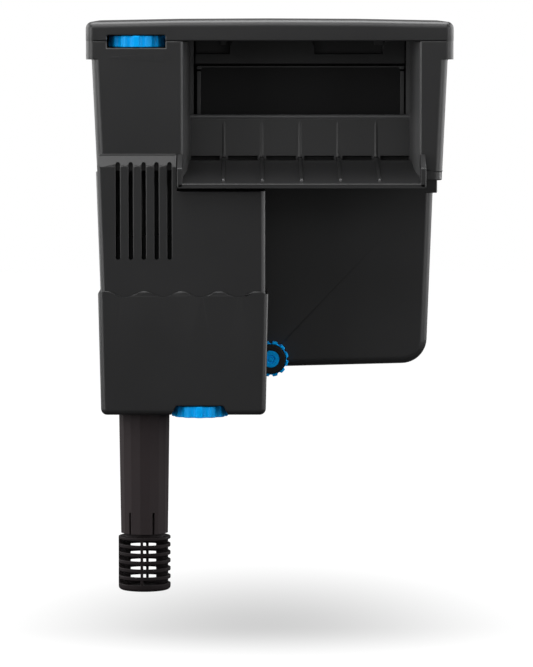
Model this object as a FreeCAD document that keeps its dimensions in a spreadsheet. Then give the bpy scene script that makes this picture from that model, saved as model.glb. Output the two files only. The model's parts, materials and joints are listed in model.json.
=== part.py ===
"""Hang-on aquarium filter: a parametric model, in millimetres, +Z up.

The filter hangs on the rim of a tank.  The origin is the middle of the face that rests on the rim, X runs
along the rim, -Y points into the tank and +Y points away from it.
"""
import FreeCAD, Part
import math
import os
import re

import Sketcher
from FreeCAD import Vector

# ---------------------------------------------------------------- driving dimensions, millimetres and degrees
SIZES = {
    # how far a cut runs past the face it opens, and the clearance of parts that only meet
    "past": 1.0,
    "apart": 0.3,
    # tank rim and the two sides of the saddle
    "gap_half": 14.0,
    "front_reach": 62.0,
    "back_reach": 110.0,
    "saddle_rise": 1.5,
    "saddle_plate": 1.9,
    "land_half_wide": 100.0,
    "land_half_deep": 11.0,
    # case
    "seam_rise": 95.0,
    "case_wall": 2.5,
    "case_corner": 6.0,
    "shell_half_top": 130.0,
    "shell_half_foot": 126.3,
    "band_tall": 13.5,
    "band_proud": 4.2,
    "wing_drop": 6.7,
    "wing_inner": 110.5,
    "wing_round": 4.4,
    "flange_half": 125.9,
    "flange_drop": 19.4,
    "box_half_top": 122.7,
    "box_half_foot": 117.9,
    "box_drop": 150.4,
    "box_crown": 3.0,
    "box_round": 19.0,
    "box_bevel": 11.4,
    "box_edge": 6.0,
    "box_back": 106.0,
    "rest_wide": 8.0,
    "rest_inset": 14.0,
    # spillway
    "spill_centre": 23.0,
    "cheek_front_half": 87.2,
    "cheek_weir_half": 83.3,
    "cheek_tail": 7.0,
    "weir_wall_rise": 34.0,
    "weir_rise": 38.4,
    "tray_skin": 2.2,
    "tray_gap": 0.2,
    "weir_round": 3.0,
    "hook_drop": 8.4,
    "weir_slope": 2.6,
    "lip_reach": 82.0,
    "lip_drop": 8.3,
    "lip_face": 3.3,
    "ear_out": 3.3,
    "ear_thick": 4.0,
    "ear_rise": 13.0,
    "ear_tip": 2.9,
    "rib_pitch": 28.45,
    "rib_wide": 2.6,
    "rib_thin": 0.8,
    "rib_tall": 2.4,
    "rib_end": 7.0,
    "rib_sunk": 0.8,
    "rib_start": 5.0,
    "slot_tall": 3.0,
    "slot_margin": 3.2,
    # lower column
    "column_left": 126.9,
    "column_right": 3.2,
    "column_draft": 3.4,
    "column_front": 68.0,
    "column_wall": 2.0,
    "column_foot": 98.0,
    "column_roof": 14.4,
    "column_step": 68.0,
    "shoulder_foot": 3.5,
    "shoulder_rise": 12.3,
    "shoulder_left": 125.8,
    "shoulder_right": 68.0,
    "back_plate": 2.5,
    "back_inset": 0.5,
    "passage_margin": 4.0,
    "column_edge": 4.0,
    "slot_first": 110.9,
    "slot_pitch": 9.42,
    "slot_wide": 3.3,
    "slot_top": 6.9,
    "slot_foot": 64.5,
    # pump cover
    "cover_left": 125.7,
    "cover_right": 0.9,
    "cover_draft": 2.1,
    "cover_front": 70.0,
    "cover_skin": 1.5,
    "cover_foot": 178.3,
    "cover_round": 4.6,
    "wave_crest": 87.3,
    "wave_deep": 4.5,
    "wave_pitch": 27.5,
    "wave_first": 119.5,
    "cover_edge": 4.0,
    "tube_room": 1.2,
    "cover_back_gap": 1.0,
    # thumb wheels
    "wheel_radius": 20.8,
    "wheel_tall": 8.2,
    "wheel_teeth": 13.0,
    "wheel_dent": 1.6,
    "wheel_dent_out": 2.1,
    "wheel_room": 0.5,
    "wheel_edge": 0.6,
    "dial_cap": 1.5,
    "flow_across": 97.4,
    "flow_back": 41.7,
    "flow_foot": 90.5,
    "balance_across": 51.4,
    "balance_back": 49.5,
    "balance_foot": 180.5,
    "notch_half_top": 17.0,
    "notch_half_foot": 21.2,
    "notch_tall": 6.7,
    # riser and flow valve
    "outlet_radius": 6.2,
    "outlet_long": 6.0,
    "pipe_wall": 1.4,
    "riser_bend": 13.0,
    "head_radius": 12.0,
    "head_wall": 1.8,
    "head_foot": 10.0,
    "head_top": 46.0,
    "spout_rise": 28.0,
    "spout_radius": 8.6,
    "spout_end": 30.0,
    "valve_cap_thick": 3.0,
    "gate_wall": 1.4,
    "running_gap": 0.08,
    "shaft_radius": 3.5,
    # pump
    "motor_half_wide": 23.0,
    "motor_front": 65.8,
    "motor_back": 20.5,
    "motor_top": 98.0,
    "motor_wall": 2.0,
    "volute_foot": 155.5,
    "volute_top": 141.0,
    "volute_radius": 14.6,
    "well_radius": 10.4,
    "well_wall": 1.6,
    "well_top": 111.0,
    "cap_thick": 3.0,
    "post_inset": 4.2,
    "screw_radius": 1.4,
    "screw_head": 2.7,
    "screw_long": 10.0,
    "screw_head_tall": 1.8,
    "core_half": 18.6,
    "core_leg": 6.0,
    "core_front": 58.0,
    "core_back": 25.0,
    "core_foot": 136.0,
    "core_tall": 20.0,
    "coil_half": 10.5,
    "coil_over": 5.2,
    "gland_radius": 5.0,
    "gland_tall": 10.0,
    "gland_bore": 3.2,
    "gland_side": 12.0,
    "pin_radius": 1.5,
    "bush_radius": 3.0,
    "bush_tall": 3.0,
    "blade_radius": 12.6,
    "blade_tall": 9.0,
    "blade_thick": 1.4,
    "blade_count": 6.0,
    "hub_radius": 4.0,
    "magnet_gap": 0.6,
    "feet_radius": 3.5,
    "feet_inset": 7.0,
    # intake
    "manifold_left": 114.0,
    "manifold_right": 28.0,
    "manifold_front": 65.0,
    "manifold_foot": 172.0,
    "manifold_wall": 2.0,
    "plate_thick": 2.3,
    "spoke_wide": 1.6,
    "spoke_count": 3.0,
    "way_wide": 8.0,
    "way_margin": 5.0,
    "drum_radius": 12.0,
    "drum_wall": 1.5,
    "drum_tall": 10.8,
    "window_half": 7.2,
    "spindle_radius": 3.0,
    "eye_radius": 7.5,
    "tube_across": 92.6,
    "tube_back": 41.0,
    "tube_width_top": 37.2,
    "tube_width_foot": 34.6,
    "tube_bore": 14.9,
    "tube_top": 176.0,
    "tube_foot": 268.0,
    "tube_facets": 16.0,
    "tube_turn": 14.0,
    "slit_wide": 1.8,
    "slit_tall": 16.0,
    "slit_turn": 24.0,
    "slit_count": 6.0,
    "stub_wall": 2.0,
    "stub_gap": 0.4,
    "stub_foot": 226.0,
    "groove_rise": 6.0,
    "seal_thick": 2.0,
    "strainer_radius": 19.25,
    "strainer_wall": 2.2,
    "strainer_gap": 2.6,
    "strainer_tall": 39.8,
    "strainer_lead": 5.4,
    "strainer_pitch": 5.9,
    "strainer_slot": 3.5,
    "strainer_rows": 6.0,
    "strainer_round": 2.5,
    "neck_deep": 14.0,
    # float
    "float_half": 21.0,
    "float_thick": 10.0,
    "float_foot": 75.0,
    "float_tall": 28.0,
    "float_gap": 2.0,
    "float_round": 1.5,
    "ledge_deep": 5.0,
    "ledge_thick": 2.0,
    # leveller
    "knob_aside": 1.2,
    "knob_drop": 143.6,
    "knob_radius": 13.2,
    "knob_teeth": 12.0,
    "knob_dent": 1.5,
    "dent_out": 0.1,
    "knob_thick": 9.0,
    "knob_clear": 0.6,
    "pad_outer": 10.9,
    "pad_inner": 6.4,
    "pad_deep": 3.2,
    "pad_proud": 0.4,
    "cap_proud": 0.2,
    "dimple_outer": 3.1,
    "dimple_inner": 2.3,
    "screw_rod": 3.0,
    "pin_step": 1.0,
    "rod_long": 15.0,
    "boss_radius": 8.0,
    "boss_deep": 20.0,
    "boss_cap": 2.0,
    # lid
    "lid_tall": 13.9,
    "lid_crown": 1.6,
    "lid_proud": 0.1,
    "lid_wall": 2.5,
    "lid_round": 5.0,
    "lid_band_drop": 18.4,
    "lid_band_half": 78.6,
    "lid_band_back": 22.0,
    "lid_screen_gap": 4.0,
    "lid_screen": 1.5,
    "lid_screen_inset": 0.3,
    "lid_notch_drop": 10.0,
    "lid_notch_slope": 4.0,
    "lid_notch_first": -60.0,
    "lid_notch_first_end": -30.3,
    "lid_notch_second": 34.6,
    "lid_notch_second_end": 84.5,
    "button_across": 70.0,
    "button_radius": 8.0,
    "button_stem": 4.0,
    "button_clear": 0.5,
    "button_seat": 3.0,
    "button_play": 0.15,
    # media
    "basket_half": 77.9,
    "basket_centre": 23.6,
    "basket_front": 24.0,
    "basket_back": 102.0,
    "basket_foot": 130.0,
    "basket_top": 75.6,
    "basket_wall": 1.8,
    "basket_chamfer": 3.0,
    "grip_half": 16.0,
    "grip_drop": 12.0,
    "mesh_half": 3.0,
    "mesh_pitch": 11.0,
    "mesh_count": 13.0,
    "media_gap": 0.4,
    "foam_tall": 95.0,
    "bag_tall": 60.0,
    "bag_inset": 4.0,
    "bag_bevel": 5.0,
    "bag_round": 8.0,
}

document = FreeCAD.newDocument("AquariumFilter")
sheet = document.addObject("Spreadsheet::Sheet", "Dims")
for row, (alias, size) in enumerate(SIZES.items(), start=1):
    sheet.set(f"A{row}", alias)
    sheet.set(f"B{row}", str(size))
    sheet.setAlias(f"B{row}", alias)
document.recompute()

pieces = []


# ---------------------------------------------------------------- helpers
def bound(text):
    """The expression with each size's name pointed at its cell of the sheet."""
    def cell(word):
        return f"Dims.{word.group()}" if word.group() in SIZES else word.group()

    return re.sub(r"[a-z_]+", cell, str(text))


def number(text):
    """The value of an expression of the sheet's sizes."""
    return float(sheet.evalExpression(str(text)))


def piece(name):
    """A new body, exported under its name."""
    body = document.addObject("PartDesign::Body", name)
    body.Label = name
    pieces.append(body)
    return body


def origin_plane(body, role):
    """One of the body's own origin planes."""
    return next(plane for plane in body.Origin.OriginFeatures if plane.Role == role)


PLANES = {"X": "YZ_Plane", "Y": "XZ_Plane", "Z": "XY_Plane"}


def pin_point(sketch, geometry, point, u, v):
    """Ties a point of a sketch to two expressions."""
    for kind, text in (("DistanceX", u), ("DistanceY", v)):
        index = sketch.addConstraint(Sketcher.Constraint(kind, -1, 1, geometry, point, number(text)))
        sketch.setExpression(f"Constraints[{index}]", bound(text))


def add_polygon(sketch, points):
    """A closed outline of straight edges whose corners are tied to expressions."""
    spots = [Vector(number(u), number(v), 0) for u, v in points]
    first = sketch.GeometryCount
    count = len(spots)
    for i in range(count):
        sketch.addGeometry(Part.LineSegment(spots[i], spots[(i + 1) % count]), False)
    for i in range(count):
        sketch.addConstraint(Sketcher.Constraint("Coincident", first + i, 2, first + (i + 1) % count, 1))
        pin_point(sketch, first + i, 1, *points[i])


def add_circle(sketch, u, v, radius):
    """A circle whose centre and radius are tied to expressions."""
    circle = Part.Circle(Vector(number(u), number(v), 0), Vector(0, 0, 1), number(radius))
    index = sketch.addGeometry(circle, False)
    pin_point(sketch, index, 3, u, v)
    limit = sketch.addConstraint(Sketcher.Constraint("Radius", index, number(radius)))
    sketch.setExpression(f"Constraints[{limit}]", bound(radius))


def add_slot(sketch, u, foot, top, half):
    """An upright slot with round ends: two straight sides and two half circles."""
    left, right = f"{u} - ({half})", f"{u} + ({half})"
    low, high = f"{foot} + ({half})", f"{top} - ({half})"
    first = sketch.GeometryCount
    corners = ((right, low), (right, high), (left, high), (left, low))
    spots = [Vector(number(a), number(b), 0) for a, b in corners]
    centre = number(u)
    sketch.addGeometry(Part.LineSegment(spots[0], spots[1]), False)
    upper = Part.Circle(Vector(centre, number(high), 0), Vector(0, 0, 1), number(half))
    sketch.addGeometry(Part.ArcOfCircle(upper, 0, math.pi), False)
    sketch.addGeometry(Part.LineSegment(spots[2], spots[3]), False)
    lower = Part.Circle(Vector(centre, number(low), 0), Vector(0, 0, 1), number(half))
    sketch.addGeometry(Part.ArcOfCircle(lower, math.pi, 2 * math.pi), False)
    for a, b in (((0, 2), (1, 1)), ((1, 2), (2, 1)), ((2, 2), (3, 1)), ((3, 2), (0, 1))):
        sketch.addConstraint(Sketcher.Constraint("Coincident", first + a[0], a[1], first + b[0], b[1]))
    pin_point(sketch, first, 1, right, low)
    pin_point(sketch, first, 2, right, high)
    pin_point(sketch, first + 2, 1, left, high)
    pin_point(sketch, first + 2, 2, left, low)
    for arc, level in ((1, high), (3, low)):
        index = sketch.addConstraint(Sketcher.Constraint("DistanceY", -1, 1, first + arc, 3, number(level)))
        sketch.setExpression(f"Constraints[{index}]", bound(level))


OUTLINES = {"circle": add_circle, "slot": add_slot}


def sketch_on(body, axis, level, outlines, centre=("0", "0")):
    """A sketch across one axis at a level, of polygons (lists of points) and named outlines (tuples)."""
    sketch = body.newObject("Sketcher::SketchObject", f"{body.Name}_sketch")
    sketch.AttachmentSupport = (origin_plane(body, PLANES[axis]), [""])
    sketch.MapMode = "FlatFace"
    sign = "-" if axis == "Y" else ""
    sketch.setExpression("AttachmentOffset.Base.z", bound(f"{sign}({level})"))
    sketch.setExpression("AttachmentOffset.Base.x", bound(centre[0]))
    sketch.setExpression("AttachmentOffset.Base.y", bound(centre[1]))
    for outline in outlines:
        if isinstance(outline, tuple):
            OUTLINES[outline[0]](sketch, *outline[1:])
        else:
            add_polygon(sketch, outline)
    return sketch


def add(body, axis, low, high, *outlines, taper=None, centre=("0", "0")):
    """Pads outlines drawn across an axis, between two levels of it."""
    start = high if axis == "Y" else low
    pad = body.newObject("PartDesign::Pad", f"{body.Name}_pad")
    pad.Profile = sketch_on(body, axis, start, outlines, centre)
    pad.setExpression("Length", bound(f"({high}) - ({low})"))
    if taper:
        pad.setExpression("TaperAngle", bound(taper))
    document.recompute()
    return pad


def cut(body, axis, low, high, *outlines, centre=("0", "0")):
    """Pockets outlines drawn across an axis, between two levels of it, and checks that material went."""
    before = body.Shape.Volume
    start = high if axis == "Y" else low
    pocket = body.newObject("PartDesign::Pocket", f"{body.Name}_pocket")
    pocket.Profile = sketch_on(body, axis, start, outlines, centre)
    pocket.Reversed = True
    pocket.setExpression("Length", bound(f"({high}) - ({low})"))
    document.recompute()
    if not body.Shape.Volume < before - 1e-3:
        raise RuntimeError(f"{pocket.Name} cuts nothing")
    return pocket


def rectangle(u_low, u_high, v_low, v_high):
    """Corners of an upright rectangle."""
    return [(u_low, v_low), (u_high, v_low), (u_high, v_high), (u_low, v_high)]


def oblong(u, v, half_u, half_v):
    """Corners of a rectangle about a middle point."""
    return rectangle(f"{u} - ({half_u})", f"{u} + {half_u}", f"{v} - ({half_v})", f"{v} + {half_v}")


def round_edges(body, radius, wanted, feature="PartDesign::Fillet"):
    """Rounds or chamfers the body's edges that a test on their middle point and box picks."""
    tip = body.Tip
    names = [
        f"Edge{i}"
        for i, edge in enumerate(tip.Shape.Edges, start=1)
        if wanted(edge.BoundBox.Center, edge.BoundBox)
    ]
    if not names:
        raise RuntimeError(f"no edge to round on {body.Label}")
    rounding = body.newObject(feature, f"{body.Name}_edge")
    rounding.Base = (tip, names)
    rounding.setExpression("Size" if feature.endswith("Chamfer") else "Radius", bound(radius))
    document.recompute()
    return rounding


def lies_at(value, text):
    """Whether a coordinate lies at an expression's value, within a tenth of a millimetre."""
    return abs(value - number(text)) < 0.1


def turn_copies(body, feature, count):
    """Repeats a feature evenly around the middle of its own sketch."""
    pattern = body.newObject("PartDesign::PolarPattern", f"{body.Name}_ring")
    pattern.Originals = [feature]
    pattern.Axis = (feature.Profile[0], ["N_Axis"])
    pattern.Angle = 360
    pattern.setExpression("Occurrences", bound(count))
    body.Tip = pattern
    document.recompute()
    return pattern


def row_copies(body, feature, role, pitch, count):
    """Repeats a feature along one of the body's origin axes."""
    pattern = body.newObject("PartDesign::LinearPattern", f"{body.Name}_row")
    pattern.Originals = [feature]
    pattern.Direction = (next(axis for axis in body.Origin.OriginFeatures if axis.Role == role), [""])
    pattern.Mode = "Spacing"
    pattern.setExpression("Offset", bound(pitch))
    pattern.setExpression("Occurrences", bound(count))
    body.Tip = pattern
    document.recompute()
    return pattern


# ---------------------------------------------------------------- case and spillway
CHEEK_LEFT = "spill_centre - cheek_front_half"
CHEEK_RIGHT = "spill_centre + cheek_front_half"
BAND_FOOT = "seam_rise - band_tall"
BOX_FRONT_INSIDE = "gap_half + case_wall"
SADDLE_TOP = "saddle_rise + saddle_plate"
KNOB = ("knob_aside", "-knob_drop")
WHEEL_SIDES = ("-flow_across - wheel_radius - wheel_room", "-flow_across + wheel_radius + wheel_room")


def make_case():
    """One moulding: the box behind the glass, the saddle, the column's shell and the spillway's cheeks."""
    case = piece("filter_case")
    shell = [
        ("-shell_half_foot", "0"),
        ("shell_half_foot", "0"),
        ("shell_half_top", BAND_FOOT),
        ("-shell_half_top", BAND_FOOT),
    ]
    add(case, "Y", "-front_reach", "back_reach", shell)
    upright = number("seam_rise") / 2
    round_edges(
        case, "case_corner", lambda spot, box: lies_at(spot.y, "-front_reach") and box.ZLength > upright
    )
    band = "shell_half_top + band_proud"
    plan = rectangle(f"-({band})", band, "-front_reach", "back_reach + band_proud")
    add(case, "Z", BAND_FOOT, "seam_rise", plan)
    tall = number("band_tall") / 2
    round_edges(case, "case_corner", lambda spot, box: lies_at(abs(spot.x), band) and box.ZLength > tall)
    edge = "shell_half_foot - tray_gap"
    wing = [
        ("wing_inner", "-front_reach"),
        (f"{edge} - case_corner", "-front_reach"),
        (f"{edge} - case_corner * 0.3", "-front_reach + case_corner * 0.3"),
        (edge, "-front_reach + case_corner"),
        (edge, "-gap_half"),
        ("wing_inner", "-gap_half"),
    ]
    add(case, "Z", "-wing_drop", "0", wing)
    add(case, "Z", "-flange_drop", "0", rectangle("-flange_half", "flange_half", "gap_half", "back_reach"))
    box = [
        ("-box_half_top", "-flange_drop"),
        ("-box_half_foot", "box_crown - box_drop"),
        ("0", "-box_drop"),
        ("box_half_foot", "box_crown - box_drop"),
        ("box_half_top", "-flange_drop"),
    ]
    add(case, "Y", "gap_half", "box_back", box)
    corner = ("box_half_foot", "box_crown - box_drop")
    round_edges(
        case, "box_round",
        lambda spot, box: lies_at(abs(spot.x), corner[0]) and lies_at(spot.z, corner[1]) and box.YLength > 20,
    )
    below = number("-flange_drop")
    round_edges(
        case, "box_edge",
        lambda spot, box: box.YLength < 0.1 and box.ZMin < below - 1
        and (lies_at(spot.y, "gap_half") or lies_at(spot.y, "box_back")),
    )
    hollow_case(case)
    case_details(case)
    return case


def hollow_case(case):
    """The hollows: the box with its chamfered corners, the wide top above it, the column and the pillar."""
    wall = "case_wall"
    inside_foot = f"box_crown - box_drop + {wall}"
    bevel = "box_bevel"
    side = f"box_half_foot - {wall}"
    low_box = [
        (f"-(box_half_top - {wall})", "-flange_drop"),
        (f"-({side})", f"{inside_foot} + {bevel}"),
        (f"-({side} - {bevel})", inside_foot),
        (f"{side} - {bevel}", inside_foot),
        (side, f"{inside_foot} + {bevel}"),
        (f"box_half_top - {wall}", "-flange_drop"),
        (f"box_half_top - {wall}", f"-flange_drop + {wall} + past"),
        (f"-(box_half_top - {wall})", f"-flange_drop + {wall} + past"),
    ]
    cut(case, "Y", BOX_FRONT_INSIDE, f"box_back - {wall}", low_box)
    high_box = [
        (f"-(flange_half - {wall})", f"-flange_drop + {wall}"),
        (f"flange_half - {wall}", f"-flange_drop + {wall}"),
        (f"shell_half_top - {wall}", "seam_rise"),
        (f"-(shell_half_top - {wall})", "seam_rise"),
    ]
    cut(case, "Y", BOX_FRONT_INSIDE, f"back_reach - {wall}", high_box)
    column = [
        (f"-(shell_half_foot - {wall})", SADDLE_TOP),
        (f"{CHEEK_LEFT} - {wall}", SADDLE_TOP),
        (f"{CHEEK_LEFT} - {wall}", "seam_rise"),
        (f"-(shell_half_top - {wall})", "seam_rise"),
    ]
    cut(case, "Y", f"-front_reach + {wall}", f"{BOX_FRONT_INSIDE} + past", column)
    pillar = [
        (f"{CHEEK_RIGHT} + {wall}", SADDLE_TOP),
        (f"shell_half_foot - {wall}", SADDLE_TOP),
        (f"shell_half_top - {wall}", "seam_rise"),
        (f"{CHEEK_RIGHT} + {wall}", "seam_rise"),
    ]
    cut(case, "Y", f"-front_reach + {wall}", f"{BOX_FRONT_INSIDE} + past", pillar)
    wing = rectangle(
        f"wing_inner + {wall}", f"shell_half_foot - {wall} - apart",
        f"-front_reach + {wall}", f"-gap_half - {wall}",
    )
    cut(case, "Z", f"-wing_drop + {wall}", f"{SADDLE_TOP} + apart", wing)


def case_details(case):
    """The spillway's channel, the saddle's relief and land, the boss, the rests and the openings."""
    channel = [
        (CHEEK_LEFT, "-front_reach - past"),
        (CHEEK_RIGHT, "-front_reach - past"),
        ("spill_centre + cheek_weir_half", "gap_half"),
        ("spill_centre - cheek_weir_half", "gap_half"),
    ]
    cut(case, "Z", SADDLE_TOP, "seam_rise", channel)
    narrowing = "(cheek_front_half - cheek_weir_half) * (front_reach - gap_half) / (front_reach + gap_half)"
    rim_half = f"cheek_front_half - {narrowing}"
    under_apron = [
        (CHEEK_LEFT, "-front_reach - past"),
        (CHEEK_RIGHT, "-front_reach - past"),
        (f"spill_centre + {rim_half}", "-gap_half"),
        (f"spill_centre - ({rim_half})", "-gap_half"),
    ]
    cut(case, "Z", "-apart", SADDLE_TOP, under_apron)
    gate = rectangle(
        "spill_centre - cheek_weir_half", "spill_centre + cheek_weir_half",
        "gap_half - tray_gap", BOX_FRONT_INSIDE,
    )
    cut(case, "Z", "weir_wall_rise", "seam_rise", gate)
    for side in ("-", "+"):
        inner = f"spill_centre {side} cheek_weir_half"
        outer = f"spill_centre {side} (cheek_weir_half + case_wall)"
        tail = rectangle(inner, outer, "gap_half", "gap_half + cheek_tail")
        add(case, "Z", "0", "seam_rise", tail)
    relief = rectangle("-shell_half_foot - past", "shell_half_foot + past", "-gap_half", "gap_half")
    cut(case, "Z", "-apart", "saddle_rise", relief)
    add(case, "Z", "0", "saddle_rise", oblong("0", "0", "land_half_wide", "land_half_deep"))
    margin = "passage_margin"
    passage = rectangle(
        f"-column_left + column_wall + {margin}", f"-column_step - {margin}",
        f"-front_reach + {margin}", f"-gap_half - {margin}",
    )
    cut(case, "Z", "-apart", f"{SADDLE_TOP} + apart", passage)
    slot = rectangle(*WHEEL_SIDES, "flow_foot - wheel_room", "seam_rise")
    cut(case, "Y", "-front_reach - past", "-front_reach + case_wall + past", slot)
    boss_end = "gap_half + boss_deep"
    add(case, "Y", "gap_half", boss_end, ("circle", *KNOB, "boss_radius"))
    bore = ("circle", *KNOB, "screw_rod + running_gap")
    cut(case, "Y", "gap_half - apart", f"{boss_end} - boss_cap", bore)
    floor = "box_crown - box_drop"
    across = "basket_half - rest_inset"
    for side in ("-", "+"):
        for deep in ("basket_front + rest_inset", "basket_back - rest_inset"):
            middle = f"basket_centre {side} ({across})"
            post = oblong(middle, deep, "rest_wide / 2", "rest_wide / 2")
            add(case, "Z", floor, "-basket_foot - media_gap", post)


def make_tray():
    """The spillway: a hook over the weir wall, the ribbed apron below it and the two ears at the lip."""
    tray = piece("spillway_tray")
    gap = "tray_gap"
    skin = "tray_skin"
    wall_front = f"gap_half - {gap}"
    wall_back = f"{BOX_FRONT_INSIDE} + {gap}"
    floor_top = f"{SADDLE_TOP} + {skin}"
    profile = [
        (f"{wall_back} + {skin}", "weir_rise - hook_drop"),
        (f"{wall_back} + {skin}", "weir_rise"),
        (f"{wall_front} - {skin}", "weir_rise"),
        (f"{wall_front} - {skin} - weir_slope", floor_top),
        ("-gap_half", floor_top),
        ("-lip_reach", "-lip_drop"),
        ("-lip_reach", "-lip_drop - lip_face"),
        (f"-lip_reach + {skin}", "-lip_drop - lip_face"),
        (f"-lip_reach + {skin}", f"-lip_drop - {skin} + apart"),
        ("-gap_half", SADDLE_TOP),
        (wall_front, SADDLE_TOP),
        (wall_front, "weir_wall_rise + 2 * apart"),
        (wall_back, "weir_wall_rise + 2 * apart"),
        (wall_back, "weir_rise - hook_drop"),
    ]
    wide = "cheek_front_half + ear_out"
    add(tray, "X", f"spill_centre - ({wide})", f"spill_centre + {wide}", profile)
    round_edges(tray, "weir_round", lambda spot, box: lies_at(spot.z, "weir_rise") and box.XLength > 100)
    for side in ("-", "+"):
        edge = f"spill_centre {side} ({wide} + past)"
        weir_edge = f"spill_centre {side} (cheek_weir_half - apart)"
        front_edge = f"spill_centre {side} (cheek_front_half - apart)"
        trim = [
            (weir_edge, "gap_half + cheek_tail + past"),
            (edge, "gap_half + cheek_tail + past"),
            (edge, "-front_reach - apart"),
            (front_edge, "-front_reach - apart"),
            (weir_edge, "gap_half"),
        ]
        cut(tray, "Z", "-lip_drop - lip_face - past", "weir_rise + past", trim)
    ear = [
        ("-front_reach - apart", "ear_rise"),
        ("-lip_reach", "ear_tip"),
        ("-lip_reach", "-lip_drop - lip_face"),
        ("-front_reach - apart", "-lip_drop"),
    ]
    for side in (-1, 1):
        outer = f"spill_centre + {side} * ({wide})"
        inner = f"spill_centre + {side} * ({wide} - ear_thick)"
        low, high = (outer, inner) if side < 0 else (inner, outer)
        add(tray, "X", low, high, ear)
    tray_slots(tray, floor_top)
    tray_ribs(tray, floor_top)
    return tray


def rib_middle(i):
    """The place across of one of the five ribs."""
    return f"spill_centre + {i - 2} * rib_pitch"


def tray_slots(tray, floor_top):
    """The drain slots between the ribs at the foot of the weir."""
    ends = ["spill_centre - cheek_weir_half + slot_margin / 2"]
    for i in range(5):
        ends += [f"{rib_middle(i)} - slot_margin", f"{rib_middle(i)} + slot_margin"]
    ends.append("spill_centre + cheek_weir_half - slot_margin / 2")
    pairs = zip(ends[::2], ends[1::2])
    holes = [rectangle(start, end, floor_top, f"{floor_top} + slot_tall") for start, end in pairs]
    cut(tray, "Y", "gap_half - tray_skin - weir_slope - 2 * past", "gap_half", *holes)


def tray_ribs(tray, floor_top):
    """Five ribs, each thin at the weir, wide at the foot and running out along the apron."""
    slope = "(lip_drop + saddle_rise + saddle_plate + tray_skin) / (lip_reach - gap_half)"
    wall = "gap_half - tray_gap - tray_skin"
    for i in range(5):
        middle = rib_middle(i)
        floor_rib = [
            (f"{wall} - weir_slope", f"{floor_top} - rib_sunk"),
            (f"{wall} - weir_slope - apart", f"{floor_top} + rib_tall"),
            ("-gap_half", f"{floor_top} + rib_tall"),
            ("-lip_reach + rib_end", f"-lip_drop + rib_end * {slope} + rib_tall / 2"),
            ("-lip_reach + rib_end", f"-lip_drop + rib_end * {slope} - rib_sunk"),
            ("-gap_half", f"{floor_top} - rib_sunk"),
        ]
        add(tray, "X", f"{middle} - rib_wide / 2", f"{middle} + rib_wide / 2", floor_rib)
        wall_rib = [
            (f"{wall} + 2 * apart", "weir_rise - rib_start"),
            (f"{wall} - apart", "weir_rise - rib_start - 2 * apart"),
            (f"{wall} - weir_slope - rib_tall", f"{floor_top} + rib_tall"),
            (f"{wall} - weir_slope - rib_tall", f"{floor_top} - rib_sunk"),
            (f"{wall} - weir_slope + past", f"{floor_top} - rib_sunk"),
        ]
        add(tray, "X", f"{middle} - rib_thin", f"{middle} + rib_thin", wall_rib)


ROTOR = ("-balance_across", "-balance_back")
TUBE = ("-tube_across", "-tube_back")
FLOW = ("-flow_across", "-flow_back")


# ---------------------------------------------------------------- lower column
COLUMN_TOP = "-apart"
COLUMN_BACK = "-gap_half - back_plate - tray_gap"


def make_housing():
    """The shell of the lower column, with its shoulder, skimmer slots and the ledges below the float."""
    housing = piece("intake_housing")
    foot = "-column_foot"
    low_left = "-(column_left - column_draft)"
    outline = [
        ("-column_left", COLUMN_TOP),
        ("-column_step", COLUMN_TOP),
        ("-column_step", "-column_roof"),
        ("-column_right", "-column_roof"),
        ("-column_right", foot),
        (low_left, foot),
    ]
    add(housing, "Y", "-column_front", COLUMN_BACK, outline)
    wedge = [
        ("-column_front", COLUMN_TOP),
        ("-front_reach - tray_gap", COLUMN_TOP),
        ("-front_reach - tray_gap", "shoulder_rise"),
        ("-column_front", "shoulder_foot"),
    ]
    add(housing, "X", "-shoulder_left", "-shoulder_right", wedge)
    upright = number("column_foot - column_roof") * 0.7
    round_edges(
        housing, "column_edge",
        lambda spot, box: lies_at(spot.y, "-column_front") and box.ZLength > upright,
    )
    hollow = [
        ("-column_left + column_wall", "0"),
        ("-column_step - column_wall", "0"),
        ("-column_step - column_wall", "-column_roof - column_wall"),
        ("-column_right - column_wall", "-column_roof - column_wall"),
        ("-column_right - column_wall", "-column_foot - past"),
        (f"{low_left} + column_wall", "-column_foot - past"),
    ]
    cut(housing, "Y", "-column_front + column_wall", f"{COLUMN_BACK} + past", hollow)
    slots = [
        ("slot", f"-slot_first + {i} * slot_pitch", "-slot_foot", "slot_top", "slot_wide / 2")
        for i in range(5)
    ]
    cut(housing, "Y", "-column_front - past", "-front_reach", *slots)
    ledge_top = "-float_foot"
    inner_face = "-column_front + column_wall"
    ledge = rectangle(
        f"{FLOAT_MIDDLE} - float_half", f"{FLOAT_MIDDLE} + float_half",
        f"{inner_face} - apart", f"{inner_face} + ledge_deep",
    )
    add(housing, "Z", f"{ledge_top} - ledge_thick", ledge_top, ledge)
    return housing


FLOAT_MIDDLE = "-slot_first + 2 * slot_pitch"


def make_back_plate():
    """The flat plate that closes the column towards the glass and carries the pump."""
    plate = piece("housing_back")
    outline = [
        ("-column_left + back_inset", COLUMN_TOP),
        ("-column_step", COLUMN_TOP),
        ("-column_step", "-column_roof"),
        ("-column_right - back_inset", "-column_roof"),
        ("-cover_right - cover_draft - cover_skin - back_inset", "-manifold_foot"),
        ("-cover_left + cover_draft + cover_skin + back_inset", "-manifold_foot"),
        ("-cover_left + cover_draft + cover_skin + back_inset", "-column_foot"),
        ("-column_left + column_draft + back_inset", "-column_foot"),
    ]
    add(plate, "Y", "-gap_half - back_plate", "-gap_half", outline)
    return plate


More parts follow.
